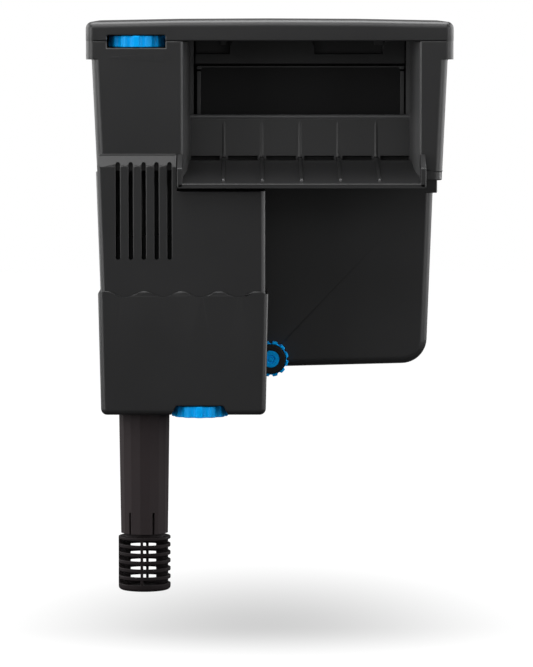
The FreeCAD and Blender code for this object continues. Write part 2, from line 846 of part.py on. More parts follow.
def wave_cutter():
    """A solid above the wavy top edge of the pump cover: z follows a cosine from crest to trough."""
    half = number("wave_deep") / 2
    middle = -number("wave_crest") - half
    pitch = number("wave_pitch")
    first = -number("wave_first")
    start = first - pitch / 2
    waves = (number("cover_left - cover_right")) // pitch
    end = first + (waves + 0.25) * pitch
    steps = int(12 * waves)
    spots = []
    for i in range(steps + 1):
        x = start + (end - start) * i / steps
        spots.append(Vector(x, 0, middle + half * math.cos(2 * math.pi * (x - first) / pitch)))
    curve = Part.BSplineCurve()
    curve.interpolate(spots)
    margin = number("wave_pitch")
    top = -number("wave_crest") + margin
    left = Vector(spots[0].x - margin, 0, spots[0].z)
    right = Vector(spots[-1].x + margin, 0, spots[-1].z)
    corners = [spots[-1], right, Vector(right.x, 0, top), Vector(left.x, 0, top), left, spots[0]]
    edges = [curve.toShape()] + [Part.LineSegment(a, b).toShape() for a, b in zip(corners, corners[1:])]
    face = Part.Face(Part.Wire(edges))
    cutter = document.addObject("Part::Feature", "wave_cutter")
    deep = number("cover_front")
    cutter.Shape = face.extrude(Vector(0, deep + margin, 0))
    cutter.Placement = FreeCAD.Placement(Vector(0, -deep - margin, 0), FreeCAD.Rotation())
    return cutter


def make_pump_cover():
    """The cover over the pump, open at the back, with a wavy rim and openings for the tube and the wheel."""
    blank = document.addObject("PartDesign::Body", "cover_blank")
    outline = [
        ("-cover_left", "-wave_crest"),
        ("-cover_right", "-wave_crest"),
        ("-cover_right - cover_draft", "-cover_foot"),
        ("-cover_left + cover_draft", "-cover_foot"),
    ]
    back = "-gap_half - cover_back_gap"
    foot = number("-wave_crest - wave_deep")
    add(blank, "Y", "-cover_front", back, outline)
    deep = number("cover_front - gap_half") / 2
    round_edges(blank, "cover_round", lambda spot, box: lies_at(spot.z, "-cover_foot") and box.YLength > deep)
    round_edges(
        blank, "cover_edge",
        lambda spot, box: lies_at(spot.y, "-cover_front") and box.YLength < 0.1 and box.ZMin < foot,
    )
    skin = "cover_skin"
    bevel = "cover_round * 2 / 3"
    hollow = [
        (f"-cover_left + {skin}", "-wave_crest + past"),
        (f"-cover_right - {skin}", "-wave_crest + past"),
        (f"-cover_right - cover_draft - {skin}", f"-cover_foot + {skin} + {bevel}"),
        (f"-cover_right - cover_draft - {skin} - {bevel}", f"-cover_foot + {skin}"),
        (f"-cover_left + cover_draft + {skin} + {bevel}", f"-cover_foot + {skin}"),
        (f"-cover_left + cover_draft + {skin}", f"-cover_foot + {skin} + {bevel}"),
    ]
    cut(blank, "Y", f"-cover_front + {skin}", f"{back} + past", hollow)
    floor = ("-cover_foot - past", f"-cover_foot + {skin} + past")
    cut(blank, "Z", *floor, ("circle", *TUBE, "tube_width_top / 2 + tube_room"))
    cut(blank, "Z", *floor, ("circle", *ROTOR, "wheel_radius + wheel_room"))
    notch = [
        ("-balance_across - notch_half_foot", "-cover_foot - tray_gap"),
        ("-balance_across + notch_half_foot", "-cover_foot - tray_gap"),
        ("-balance_across + notch_half_top", "-cover_foot + notch_tall"),
        ("-balance_across - notch_half_top", "-cover_foot + notch_tall"),
    ]
    cut(blank, "Y", "-cover_front - past", "-balance_back", notch)
    cover = document.addObject("Part::Cut", "pump_cover")
    cover.Label = "pump_cover"
    cover.Base = blank
    cover.Tool = wave_cutter()
    pieces.append(cover)
    return cover


# ---------------------------------------------------------------- pump
VOLUTE_FOOT = "-volute_foot"
OUTLET_LEVEL = "(-volute_foot + outlet_radius + pipe_wall + apart)"
MOTOR_LEFT = "-balance_across - motor_half_wide"
MOTOR_RIGHT = "-balance_across + motor_half_wide"
MOTOR_PLAN = rectangle(MOTOR_LEFT, MOTOR_RIGHT, "-motor_front", "-motor_back")
VOLUTE_FLOOR = f"{VOLUTE_FOOT} - plate_thick"
OUTLET_END = f"{MOTOR_LEFT} - outlet_long"


def motor_posts():
    """The four places of the screws that hold the motor's cap."""
    return [
        (f"{side} + {inset}", deep)
        for side, inset in ((MOTOR_LEFT, "post_inset"), (MOTOR_RIGHT, "-post_inset"))
        for deep in ("-motor_front + post_inset", "-motor_back - post_inset")
    ]


def make_motor_case():
    """The motor's block: the volute below, the rotor's well above it and the room for the core and coil."""
    motor = piece("motor_case")
    add(motor, "Z", VOLUTE_FOOT, "-motor_top", MOTOR_PLAN)
    floor = "-volute_top + well_wall"
    wall = "motor_wall"
    bevel = "post_inset + 2 * screw_radius"
    left, right = f"{MOTOR_LEFT} + {wall}", f"{MOTOR_RIGHT} - {wall}"
    front, back = f"-motor_front + {wall}", f"-motor_back - {wall}"
    room = [
        (f"{left} + {bevel}", front),
        (f"{right} - {bevel}", front),
        (right, f"{front} + {bevel}"),
        (right, f"{back} - {bevel}"),
        (f"{right} - {bevel}", back),
        (f"{left} + {bevel}", back),
        (left, f"{back} - {bevel}"),
        (left, f"{front} + {bevel}"),
    ]
    cut(motor, "Z", floor, "-motor_top + past", room, ("circle", *ROTOR, "well_radius + well_wall"))
    over_well = ("circle", *ROTOR, "well_radius + well_wall + apart")
    cut(motor, "Z", "-well_top + bush_tall + motor_wall", "-motor_top + past", over_well)
    outlet = ("circle", "-flow_back", OUTLET_LEVEL)
    add(motor, "X", OUTLET_END, f"{MOTOR_LEFT} + past", (*outlet, "outlet_radius + pipe_wall"))
    cut(motor, "Z", f"{VOLUTE_FOOT} - past", "-volute_top", ("circle", *ROTOR, "volute_radius"))
    cut(motor, "Z", "-volute_top - past", "-well_top", ("circle", *ROTOR, "well_radius"))
    cut(motor, "Z", "-well_top - past", "-well_top + bush_tall", ("circle", *ROTOR, "bush_radius"))
    cut(motor, "X", f"{OUTLET_END} - past", "-balance_across - hub_radius", (*outlet, "outlet_radius"))
    holes = [("circle", u, v, "screw_radius") for u, v in motor_posts()]
    cut(motor, "Z", "-motor_top - screw_long + cap_thick - apart", "-motor_top + past", *holes)
    return motor


def make_motor_cap():
    """The cap that closes the motor, with its screw holes and the seat of the cable gland."""
    cap = piece("motor_cap")
    cap_top = "-motor_top + cap_thick"
    add(cap, "Z", "-motor_top", cap_top, MOTOR_PLAN)
    holes = [("circle", u, v, "screw_radius + running_gap") for u, v in motor_posts()]
    cut(cap, "Z", "-motor_top - past", f"{cap_top} + past", *holes, ("circle", *GLAND, "gland_bore"))
    return cap


GLAND = ("-balance_across + gland_side", "-motor_back - 2 * gland_radius")


def make_gland():
    """The rubber gland through which the motor's lead leaves."""
    gland = piece("cable_gland")
    foot = "-motor_top + cap_thick"
    add(gland, "Z", foot, f"{foot} + gland_tall", ("circle", *GLAND, "gland_radius"), taper="-4")
    cut(gland, "Z", f"{foot} - past", f"{foot} + gland_tall + past", ("circle", *GLAND, "gland_bore"))
    return gland


def make_motor_screws():
    """Four pan-head screws through the motor's cap."""
    screws = piece("motor_screws")
    top = "-motor_top + cap_thick"
    shanks = [("circle", u, v, "screw_radius - running_gap / 2") for u, v in motor_posts()]
    heads = [("circle", u, v, "screw_head") for u, v in motor_posts()]
    screws.AllowCompound = True
    add(screws, "Z", f"{top} - screw_long", top, *shanks)
    add(screws, "Z", top, f"{top} + screw_head_tall", *heads)
    return screws


def make_stator():
    """The laminated core round the rotor's well and the coil on its yoke."""
    core = piece("stator_core")
    leg_inner = "core_half - core_leg"
    u_shape = [
        ("-balance_across - core_half", "-core_front"),
        (f"-balance_across - ({leg_inner})", "-core_front"),
        (f"-balance_across - ({leg_inner})", "-core_back - core_leg"),
        (f"-balance_across + ({leg_inner})", "-core_back - core_leg"),
        (f"-balance_across + ({leg_inner})", "-core_front"),
        ("-balance_across + core_half", "-core_front"),
        ("-balance_across + core_half", "-core_back"),
        ("-balance_across - core_half", "-core_back"),
    ]
    add(core, "Z", "-core_foot", "-core_foot + core_tall", u_shape)
    coil = piece("stator_coil")
    outer = rectangle(
        "-core_back - core_leg - coil_over", "-core_back + coil_over / 2 - apart",
        "-core_foot - coil_over / 2", "-core_foot + core_tall + coil_over",
    )
    gap = "running_gap"
    window = rectangle(
        f"-core_back - core_leg - {gap}", f"-core_back + {gap}",
        f"-core_foot - {gap}", f"-core_foot + core_tall + {gap}",
    )
    add(coil, "X", "-balance_across - coil_half", "-balance_across + coil_half", outer, window)


FOOT_BUSH = "bush_radius * 3 / 4"


def make_rotor():
    """The magnet and the impeller that turns on the fixed ceramic pin, and the pin's two rubber bushes."""
    magnet = piece("rotor_magnet")
    bore = ("circle", *ROTOR, "pin_radius + running_gap")
    magnet_foot = "-volute_top - apart"
    skin = ("circle", *ROTOR, "well_radius - magnet_gap")
    add(magnet, "Z", magnet_foot, "-well_top - 2 * magnet_gap", skin, bore)
    impeller = piece("impeller")
    blade_foot = f"{VOLUTE_FOOT} + plate_thick"
    add(impeller, "Z", f"{blade_foot} + blade_tall", magnet_foot, ("circle", *ROTOR, "hub_radius"))
    add(impeller, "Z", blade_foot, f"{blade_foot} + blade_tall", ("circle", *ROTOR, "hub_radius"))
    blade = add(
        impeller, "Z", blade_foot, f"{blade_foot} + blade_tall",
        rectangle("hub_radius - past", "blade_radius", "-blade_thick / 2", "blade_thick / 2"),
        centre=ROTOR,
    )
    turn_copies(impeller, blade, "blade_count")
    cut(impeller, "Z", f"{blade_foot} - past", f"{magnet_foot} + past", bore)
    pin = piece("impeller_shaft")
    pin_top = "-well_top + bush_tall - apart"
    add(pin, "Z", f"{VOLUTE_FLOOR} + apart", pin_top, ("circle", *ROTOR, "pin_radius"))
    bushes = piece("shaft_bushes")
    bushes.AllowCompound = True
    inner = ("circle", *ROTOR, "pin_radius")
    add(bushes, "Z", "-well_top", "-well_top + bush_tall", ("circle", *ROTOR, "bush_radius"), inner)
    add(bushes, "Z", VOLUTE_FLOOR, VOLUTE_FOOT, ("circle", *ROTOR, FOOT_BUSH), inner)


def manifold_box():
    """Corners of the manifold's plan."""
    return rectangle("-manifold_left", "-manifold_right", "-manifold_front", COLUMN_BACK)


def make_volute_cover():
    """The plate between the manifold and the volute, with the pump's eye and the skimmer's way down."""
    plate = piece("volute_cover")
    whole = (VOLUTE_FLOOR, VOLUTE_FOOT)
    through = (f"{VOLUTE_FLOOR} - past", f"{VOLUTE_FOOT} + past")
    add(plate, "Z", *whole, manifold_box())
    cut(plate, "Z", *through, ("circle", *ROTOR, "eye_radius"))
    add(plate, "Z", *whole, ("circle", *ROTOR, f"{FOOT_BUSH} + pin_radius"))
    arm = rectangle("bush_radius", "eye_radius + past", "-spoke_wide / 2", "spoke_wide / 2")
    spoke = add(plate, "Z", *whole, arm, centre=ROTOR)
    turn_copies(plate, spoke, "spoke_count")
    cut(plate, "Z", *through, ("circle", *ROTOR, FOOT_BUSH))
    left = "-manifold_left + 1.5 * manifold_wall"
    way = rectangle(left, f"{left} + way_wide", "-manifold_front + way_margin", f"{COLUMN_BACK} - way_margin")
    cut(plate, "Z", *through, way)
    return plate


STUB = "(tube_bore - stub_gap)"
GROOVE = "-stub_foot + groove_rise"


def make_manifold():
    """The tray under the pump: it gathers the tube's and the skimmer's water and carries the tube's stub."""
    manifold = piece("intake_manifold")
    top = VOLUTE_FLOOR
    foot = "-manifold_foot"
    wall = "manifold_wall"
    add(manifold, "Z", foot, top, manifold_box())
    inside = rectangle(
        f"-manifold_left + {wall}", f"-manifold_right - {wall}",
        f"-manifold_front + {wall}", f"{COLUMN_BACK} - {wall}",
    )
    cut(manifold, "Z", f"{foot} + {wall}", f"{top} + past", inside)
    add(manifold, "Z", "-stub_foot", f"{foot} + past", ("circle", *TUBE, STUB))
    stub_bore = ("circle", *TUBE, f"{STUB} - stub_wall")
    cut(manifold, "Z", "-stub_foot - past", f"{foot} + {wall} + past", stub_bore)
    ring = ("circle", *TUBE, f"{STUB} + past")
    cut(manifold, "Z", GROOVE, f"{GROOVE} + seal_thick", ring, ("circle", *TUBE, f"{STUB} - stub_wall / 2"))
    spindle = ("circle", *ROTOR, "spindle_radius + running_gap")
    cut(manifold, "Z", f"{foot} - past", f"{foot} + {wall} + past", spindle)
    return manifold


def make_seals():
    """The rubber rings: one in the stub's groove, one under the volute."""
    ring = piece("tube_seal")
    low, high = f"{GROOVE} + running_gap", f"{GROOVE} + seal_thick - running_gap"
    inner = f"{STUB} - stub_wall / 2 + running_gap"
    add(ring, "Z", low, high, ("circle", *TUBE, "tube_bore - running_gap"), ("circle", *TUBE, inner))
    feet = piece("pump_feet")
    feet.AllowCompound = True
    spots = [
        (across, level)
        for across in (f"{MOTOR_LEFT} + feet_inset", f"{MOTOR_RIGHT} - feet_inset")
        for level in ("-motor_top - feet_inset", "-volute_top + feet_inset")
    ]
    pads = [("circle", u, v, "feet_radius") for u, v in spots]
    add(feet, "Y", "-motor_back", "-gap_half - back_plate", *pads)


# ---------------------------------------------------------------- riser and flow valve
def riser_path(start):
    """The riser's middle line: out of the motor to the left, round a bend and straight up to the valve."""
    level = number(OUTLET_LEVEL)
    x, y = number(FLOW[0]), number(FLOW[1])
    bend = number("riser_bend")
    mid = Vector(x + bend * (1 - math.sqrt(0.5)), y, level + bend * (1 - math.sqrt(0.5)))
    run = Part.LineSegment(Vector(number(start), y, level), Vector(x + bend, y, level))
    arc = Part.Arc(Vector(x + bend, y, level), mid, Vector(x, y, level + bend))
    rise = Part.LineSegment(Vector(x, y, level + bend), Vector(x, y, number("head_foot + head_wall + past")))
    return Part.Wire([run.toShape(), arc.toShape(), rise.toShape()])


def swept(start, radius):
    """A round rod along the riser's middle line."""
    path = riser_path(start)
    first = path.Edges[0].Vertexes[0].Point
    disc = Part.Wire(Part.makeCircle(radius, first, Vector(1, 0, 0)))
    return path.makePipeShell([disc], True, False)


def make_riser():
    """The pipe from the pump up to the valve's chamber, and the spout over the saddle."""
    start = f"{OUTLET_END} - running_gap"
    bore = number("outlet_radius")
    x, y = number(FLOW[0]), number(FLOW[1])
    head_foot, head_top = number("head_foot"), number("head_top")
    outer = swept(start, bore + number("pipe_wall"))
    head = number("head_radius")
    outer = outer.fuse(Part.makeCylinder(head, head_top - head_foot, Vector(x, y, head_foot)))
    spout_level, spout = number("spout_rise"), number("spout_radius")
    spout_long = number("spout_end + flow_back")
    outer = outer.fuse(Part.makeCylinder(spout, spout_long, Vector(x, y, spout_level), Vector(0, 1, 0)))
    inner = swept(start, bore)
    wall = number("head_wall")
    room = Part.makeCylinder(head - wall, head_top - head_foot - wall, Vector(x, y, head_foot + wall))
    bore_out = Part.makeCylinder(spout - wall, spout_long, Vector(x, y, spout_level), Vector(0, 1, 0))
    riser = document.addObject("Part::Feature", "riser_pipe")
    riser.Shape = outer.cut(inner).cut(room).cut(bore_out).removeSplitter()
    riser.Placement = FreeCAD.Placement()
    pieces.append(riser)
    return riser


def make_valve():
    """The flow valve: cap on the chamber, turning gate, shaft and thumb wheel."""
    cap = piece("valve_cap")
    cap_top = "head_top + valve_cap_thick"
    shaft_hole = ("circle", *FLOW, "shaft_radius + running_gap")
    add(cap, "Z", "head_top", cap_top, ("circle", *FLOW, "head_radius"), shaft_hole)
    gate = piece("flow_gate")
    gate_radius = "head_radius - head_wall - running_gap"
    foot, top = "head_foot + head_wall + apart", "head_top - apart"
    add(gate, "Z", foot, top, ("circle", *FLOW, gate_radius))
    gate_bore = ("circle", *FLOW, f"{gate_radius} - gate_wall")
    cut(gate, "Z", f"{foot} - past", f"{top} - 2 * gate_wall", gate_bore)
    half = "spout_radius - head_wall"
    cut(gate, "Y", "-flow_back", "-flow_back + head_radius", oblong("-flow_across", "spout_rise", half, half))
    shaft = piece("flow_shaft")
    add(shaft, "Z", top, "flow_foot + wheel_tall - dial_cap", ("circle", *FLOW, "shaft_radius"))
    make_wheel("flow_dial", FLOW, "flow_foot", "shaft_radius")
    return gate


def make_wheel(name, middle, foot, bore):
    """A thumb wheel with dents round its rim and a bore for its shaft."""
    wheel = piece(name)
    top = f"{foot} + wheel_tall"
    add(wheel, "Z", foot, top, ("circle", "0", "0", "wheel_radius"), centre=middle)
    wide = number("wheel_radius")
    round_edges(wheel, "wheel_edge", lambda spot, box: box.XLength > wide)
    groove = ("circle", "0", "wheel_radius + wheel_dent_out", "wheel_dent + wheel_dent_out")
    dent = cut(wheel, "Z", f"{foot} - past", f"{top} + past", groove, centre=middle)
    turn_copies(wheel, dent, "wheel_teeth")
    if bore:
        cut(wheel, "Z", f"{foot} - past", f"{top} - dial_cap", ("circle", *middle, bore))
    return wheel


# ---------------------------------------------------------------- intake
def make_intake_dial():
    """The lower thumb wheel with its spindle, and the drum that it turns inside the manifold."""
    wheel = make_wheel("intake_dial", ROTOR, "-balance_foot", None)
    wheel_top = "-balance_foot + wheel_tall"
    drum_foot = "-manifold_foot + manifold_wall + apart"
    add(wheel, "Z", wheel_top, drum_foot, ("circle", *ROTOR, "spindle_radius"))
    drum = piece("intake_shutter")
    top = f"{drum_foot} + drum_tall"
    add(drum, "Z", drum_foot, top, ("circle", *ROTOR, "drum_radius"))
    cut(drum, "Z", f"{drum_foot} + drum_wall", f"{top} + past", ("circle", *ROTOR, "drum_radius - drum_wall"))
    low, high = f"{drum_foot} + drum_wall", f"{top} - drum_wall"
    window = rectangle("-balance_back - window_half", "-balance_back + window_half", low, high)
    cut(drum, "X", "-balance_across - drum_radius - past", "-balance_across", window)
    return drum


def make_tube():
    """The faceted tube that slides on the stub, slit at its foot so that it grips the strainer."""
    tube = piece("intake_tube")
    draft = "atan((tube_width_top - tube_width_foot) / 2 / (tube_foot - tube_top))"
    base = add(tube, "Z", "-tube_foot", "-tube_top", facets("tube_width_foot"), centre=TUBE, taper=draft)
    cut(tube, "Z", "-tube_foot - past", "-tube_top + past", ("circle", *TUBE, "tube_bore"))
    slit = cut(tube, "Z", "-tube_foot - past", "-tube_foot + slit_tall", slit_outline(), centre=TUBE)
    turn_copies(tube, slit, "slit_count")
    return tube


def facets(width):
    """The section's corners as numbers, because a sheet angle has no unit."""
    count = int(number("tube_facets"))
    corner = 0.5 / math.cos(math.pi / count)
    angles = [math.radians(number("tube_turn") + 360 / count * i - 90) for i in range(count)]
    return [
        (f"{width} * {corner * math.cos(angle):.6f}", f"{width} * {corner * math.sin(angle):.6f}")
        for angle in angles
    ]


def slit_outline():
    """One slit, a narrow rectangle turned about the tube's middle line."""
    angle = math.radians(number("slit_turn") - 90)
    reach = "tube_width_top / 2 + past"
    inner = "tube_bore - past"
    points = []
    for radial, side in ((inner, -0.5), (reach, -0.5), (reach, 0.5), (inner, 0.5)):
        u = f"({radial}) * {math.cos(angle):.6f} - slit_wide * {side * math.sin(angle):.6f}"
        v = f"({radial}) * {math.sin(angle):.6f} + slit_wide * {side * math.cos(angle):.6f}"
        points.append((u, v))
    return points


# The openings of a row of slots, in degrees about the tube's axis; -90 is the front.
STRAINER_WINDOWS = ((-92, 25), (62, 82), (88, 128), (185, 262))
SECTOR_STEP = 20


def sector(low, high, inner, outer):
    """Corners of a ring's sector between two angles in degrees. Its outer side runs clear of the circle."""
    count = math.ceil((high - low) / SECTOR_STEP)
    turns = [math.radians(low + (high - low) * i / count) for i in range(count + 1)]
    wide = 1 / math.cos(math.radians(SECTOR_STEP / 2))

    def spot(radius, turn, stretch=1.0):
        return f"({radius}) * {stretch * math.cos(turn):.6f}", f"({radius}) * {stretch * math.sin(turn):.6f}"

    around = [spot(outer, turn, wide) for turn in turns]
    within = [spot(inner, turn) for turn in reversed(turns)]
    return around + within


def make_strainer():
    """The slotted basket at the tube's end: rows of slots between two thin and two wide bars, and a neck."""
    strainer = piece("strainer")
    top = "-tube_foot - strainer_gap"
    foot = f"{top} - strainer_tall"
    wall = "strainer_wall"
    add(strainer, "Z", foot, top, ("circle", *TUBE, "strainer_radius"))
    round_edges(strainer, "strainer_round", lambda spot, box: lies_at(spot.z, foot))
    cut(strainer, "Z", f"{foot} + {wall}", f"{top} + past", ("circle", *TUBE, f"strainer_radius - {wall}"))
    neck = "tube_bore - running_gap"
    bore = ("circle", *TUBE, f"{neck} - {wall}")
    add(strainer, "Z", f"{top} - {wall}", top, ("circle", *TUBE, "strainer_radius - apart"), bore)
    add(strainer, "Z", f"{top} - past", f"{top} + neck_deep", ("circle", *TUBE, neck), bore)
    first = f"{top} - strainer_lead"
    reach = "strainer_radius / 2", "strainer_radius + past"
    windows = [sector(low, high, *reach) for low, high in STRAINER_WINDOWS]
    slots = cut(strainer, "Z", first, f"{first} + strainer_slot", *windows, centre=TUBE)
    rows = row_copies(strainer, slots, "Z_Axis", "strainer_pitch", "strainer_rows")
    rows.Reversed = True
    document.recompute()
    return strainer


def make_float():
    """The skimmer's float behind the slots."""
    float_ = piece("skimmer_float")
    front = "-column_front + column_wall + float_gap"
    plan = oblong(FLOAT_MIDDLE, f"{front} + float_thick / 2", "float_half", "float_thick / 2")
    add(float_, "Z", "-float_foot", "-float_foot + float_tall", plan)
    round_edges(float_, "float_round", lambda spot, box: box.ZLength > 10)
    return float_


# ---------------------------------------------------------------- leveller
KNOB_BACK = "gap_half - knob_clear"
KNOB_FACE = "gap_half - knob_clear - knob_thick"


def make_leveller():
    """The screw-out knob between the box and the glass: toothed wheel, screw, rubber ring and centre cap."""
    knob = piece("leveler_knob")
    add(knob, "Y", KNOB_FACE, KNOB_BACK, ("circle", "0", "0", "knob_radius"), centre=KNOB)
    groove = ("circle", "0", "knob_radius + dent_out", "knob_dent + dent_out")
    through = (f"{KNOB_FACE} - past", f"{KNOB_BACK} + past")
    dent = cut(knob, "Y", *through, groove, centre=KNOB)
    turn_copies(knob, dent, "knob_teeth")
    cut(knob, "Y", f"{KNOB_FACE} - past", f"{KNOB_FACE} + pad_deep", ("circle", *KNOB, "pad_outer + apart"))
    pin = ("circle", *KNOB, "screw_rod - pin_step + running_gap")
    cut(knob, "Y", f"{KNOB_FACE} - past", f"{KNOB_BACK} - past", pin)
    rod = piece("leveler_screw")
    add(rod, "Y", KNOB_BACK, f"{KNOB_BACK} + rod_long", ("circle", *KNOB, "screw_rod"))
    ring = piece("leveler_pad")
    seat = f"{KNOB_FACE} + pad_deep - apart"
    rims = ("circle", *KNOB, "pad_outer"), ("circle", *KNOB, "pad_inner")
    add(ring, "Y", f"{KNOB_FACE} - pad_proud", seat, *rims)
    cap = piece("leveler_cap")
    add(cap, "Y", f"{KNOB_FACE} - cap_proud", seat, ("circle", *KNOB, "pad_inner"))
    add(cap, "Y", f"{KNOB_FACE} + past", f"{KNOB_BACK} - 2 * past", ("circle", *KNOB, "screw_rod - pin_step"))
    dimple = (("circle", *KNOB, "dimple_outer"), ("circle", *KNOB, "dimple_inner"))
    cut(cap, "Y", f"{KNOB_FACE} - past", f"{KNOB_FACE} + apart", *dimple)
    return knob


# ---------------------------------------------------------------- lid
# How a cut-out in the lid's band widens towards its top: shares of the slope and of the height.
NOTCH_FLARE = ((0.08, 0.5), (0.35, 0.8), (1.0, 1.0))


def make_lid():
    """The lid: a crowned shell with a band that stops splashes over the weir, and a screen behind it."""
    lid = piece("lid")
    half = "shell_half_top + band_proud + lid_proud"
    back = "back_reach + band_proud + lid_proud"
    end_top = "seam_rise + lid_tall"
    outline = [
        (f"-({half})", "seam_rise"),
        (half, "seam_rise"),
        (half, end_top),
        (f"({half}) * 0.5", f"{end_top} + lid_crown * 0.8"),
        ("0", f"{end_top} + lid_crown"),
        (f"-({half}) * 0.5", f"{end_top} + lid_crown * 0.8"),
        (f"-({half})", end_top),
    ]
    add(lid, "Y", "-front_reach - lid_proud", back, outline)
    front = "-front_reach - lid_proud"
    round_edges(
        lid, "case_corner",
        lambda spot, box: box.ZLength > 10 and (lies_at(spot.y, front) or lies_at(spot.y, back)),
    )
    level = number(f"{end_top} - tray_gap")
    inner = number(half) - 1
    round_edges(
        lid, "lid_round",
        lambda spot, box: box.ZMin > level and not (box.YLength > 100 and abs(spot.x) < inner),
    )
    wall = "lid_wall"
    inside = rectangle(f"-({half}) + {wall}", f"{half} - {wall}", f"{front} + {wall}", f"{back} - {wall}")
    cut(lid, "Z", "seam_rise - past", f"{end_top} - {wall}", inside)
    notch = rectangle(*WHEEL_SIDES, "seam_rise - past", "flow_foot + wheel_tall + wheel_room")
    cut(lid, "Y", f"{front} - past", f"{front} + {wall} + past", notch)
    band_foot = "seam_rise - lid_band_drop"
    across = "spill_centre - lid_band_half", "spill_centre + lid_band_half"
    band = rectangle(*across, band_foot, f"{end_top} - {wall} + apart")
    add(lid, "Y", "lid_band_back", f"lid_band_back + {wall}", band)
    shelf = "seam_rise - lid_notch_drop"
    for name in ("lid_notch_first", "lid_notch_second"):
        start, end = name, f"{name}_end"
        rising, falling = [], []
        for out, up in NOTCH_FLARE:
            level = f"{shelf} + lid_notch_drop * {up}"
            rising.append((f"{end} + lid_notch_slope * {out}", level))
            falling.append((f"{start} - lid_notch_slope * {out}", level))
        hole = [(start, shelf), (end, shelf), *rising, *falling[::-1]]
        cut(lid, "Y", "lid_band_back - past", f"lid_band_back + {wall} + past", hole)
    screen_front = f"lid_band_back + {wall} + lid_screen_gap"
    reach = "lid_band_half - lid_screen_inset"
    screen = rectangle(
        f"spill_centre - ({reach})", f"spill_centre + {reach}",
        f"{shelf} - lid_screen", f"{end_top} - {wall} + apart",
    )
    add(lid, "Y", screen_front, f"{screen_front} + lid_screen", screen)
    button_way(lid, end_top, wall)
    return lid


BUTTON = ("button_across", "basket_back - basket_wall / 2")


def button_way(lid, end_top, wall):
    """The hole and the ledge in which the service indicator rides."""
    seat = f"{end_top} - {wall} - button_seat"
    add(lid, "Z", seat, f"{end_top} - {wall} + apart", ("circle", *BUTTON, "button_radius + lid_wall"))
    ledge = f"{seat} + button_seat / 2"
    cut(lid, "Z", ledge, f"{end_top} + lid_crown + past", ("circle", *BUTTON, "button_radius + button_play"))
    cut(lid, "Z", f"{seat} - past", f"{ledge} + apart", ("circle", *BUTTON, "button_stem + button_play"))


def make_button():
    """The service indicator: a stem that the basket pushes up when its media clog, and its cap."""
    button = piece("alert_button")
    end_top = "seam_rise + lid_tall"
    seat = f"{end_top} - lid_wall - button_seat / 2"
    add(button, "Z", seat, f"{end_top} + apart", ("circle", *BUTTON, "button_radius"))
    add(button, "Z", "basket_top + button_clear", f"{seat} + apart", ("circle", *BUTTON, "button_stem"))
    return button


# ---------------------------------------------------------------- media
def basket_plan(inset, bevel="basket_chamfer"):
    """The basket's plan: a rectangle whose two front corners are bevelled, less an inset all round."""
    left = f"basket_centre - basket_half + {inset}"
    right = f"basket_centre + basket_half - ({inset})"
    front = f"basket_front + {inset}"
    back = f"basket_back - ({inset})"
    return [
        (left, f"{front} + {bevel}"),
        (f"{left} + {bevel}", front),
        (f"{right} - {bevel}", front),
        (right, f"{front} + {bevel}"),
        (right, back),
        (left, back),
    ]


def make_basket():
    """The lift-out media basket: open top, slotted floor and a finger grip in each end."""
    basket = piece("media_basket")
    add(basket, "Z", "-basket_foot", "basket_top", basket_plan("0"))
    cut(basket, "Z", "-basket_foot + basket_wall", "basket_top + past", basket_plan("basket_wall"))
    middle = "(basket_front + basket_back) / 2"
    grip = oblong(middle, "basket_top - grip_drop * 3 / 2", "grip_half", "grip_drop / 2")
    cut(basket, "X", "basket_centre - basket_half - past", "basket_centre + basket_half + past", grip)
    first = "basket_centre - (mesh_count - 1) / 2 * mesh_pitch"
    deep = "basket_back - basket_front - 2 * basket_chamfer"
    slot = oblong(first, middle, "mesh_half", f"({deep}) / 2")
    slots = cut(basket, "Z", "-basket_foot - past", "-basket_foot + basket_wall + past", slot)
    row_copies(basket, slots, "X_Axis", "mesh_pitch", "mesh_count")
    return basket


def make_media():
    """The foam block on the basket's floor and the bag of media on top of it."""
    foam = piece("foam_block")
    foot = "-basket_foot + basket_wall"
    add(foam, "Z", foot, f"{foot} + foam_tall", basket_plan("basket_wall + media_gap"))
    bag = piece("media_bag")
    bag_foot = f"{foot} + foam_tall"
    add(bag, "Z", bag_foot, f"{bag_foot} + bag_tall", basket_plan("basket_wall + bag_inset", "bag_bevel"))
    round_edges(bag, "bag_round", lambda spot, box: True)
    return foam


# ---------------------------------------------------------------- build and write
def write_steps():
    """Checks every object and every piece, then writes one STEP file for each piece."""
    for item in document.Objects:
        if any(state in ("Invalid", "Error") for state in item.State):
            raise RuntimeError(f"{item.Name} failed: {item.State}")
    os.makedirs("parts", exist_ok=True)
    for item in pieces:
        shape = item.Shape
        if shape.isNull() or not shape.isValid() or not shape.Solids:
            raise RuntimeError(f"{item.Label} has no valid solid")
        shape.exportStep(f"parts/{item.Label}.step")
        box = shape.BoundBox
        spans = ((box.XMin, box.XMax), (box.YMin, box.YMax), (box.ZMin, box.ZMax))
        corners = "  ".join(f"{low:7.1f} {high:7.1f}" for low, high in spans)
        print(f"{item.Label:18s} {len(shape.Solids)} solid(s) {shape.Volume / 1000:9.2f} cm3  {corners}")


make_case()
make_tray()
make_housing()
make_back_plate()
make_pump_cover()
make_motor_case()
make_motor_cap()
make_gland()
make_motor_screws()
make_stator()
make_rotor()
make_volute_cover()
make_manifold()
make_seals()
make_riser()
make_valve()
make_intake_dial()
make_tube()
make_strainer()
make_float()
make_leveller()
make_lid()
make_button()
make_basket()
make_media()
document.recompute()
write_steps()
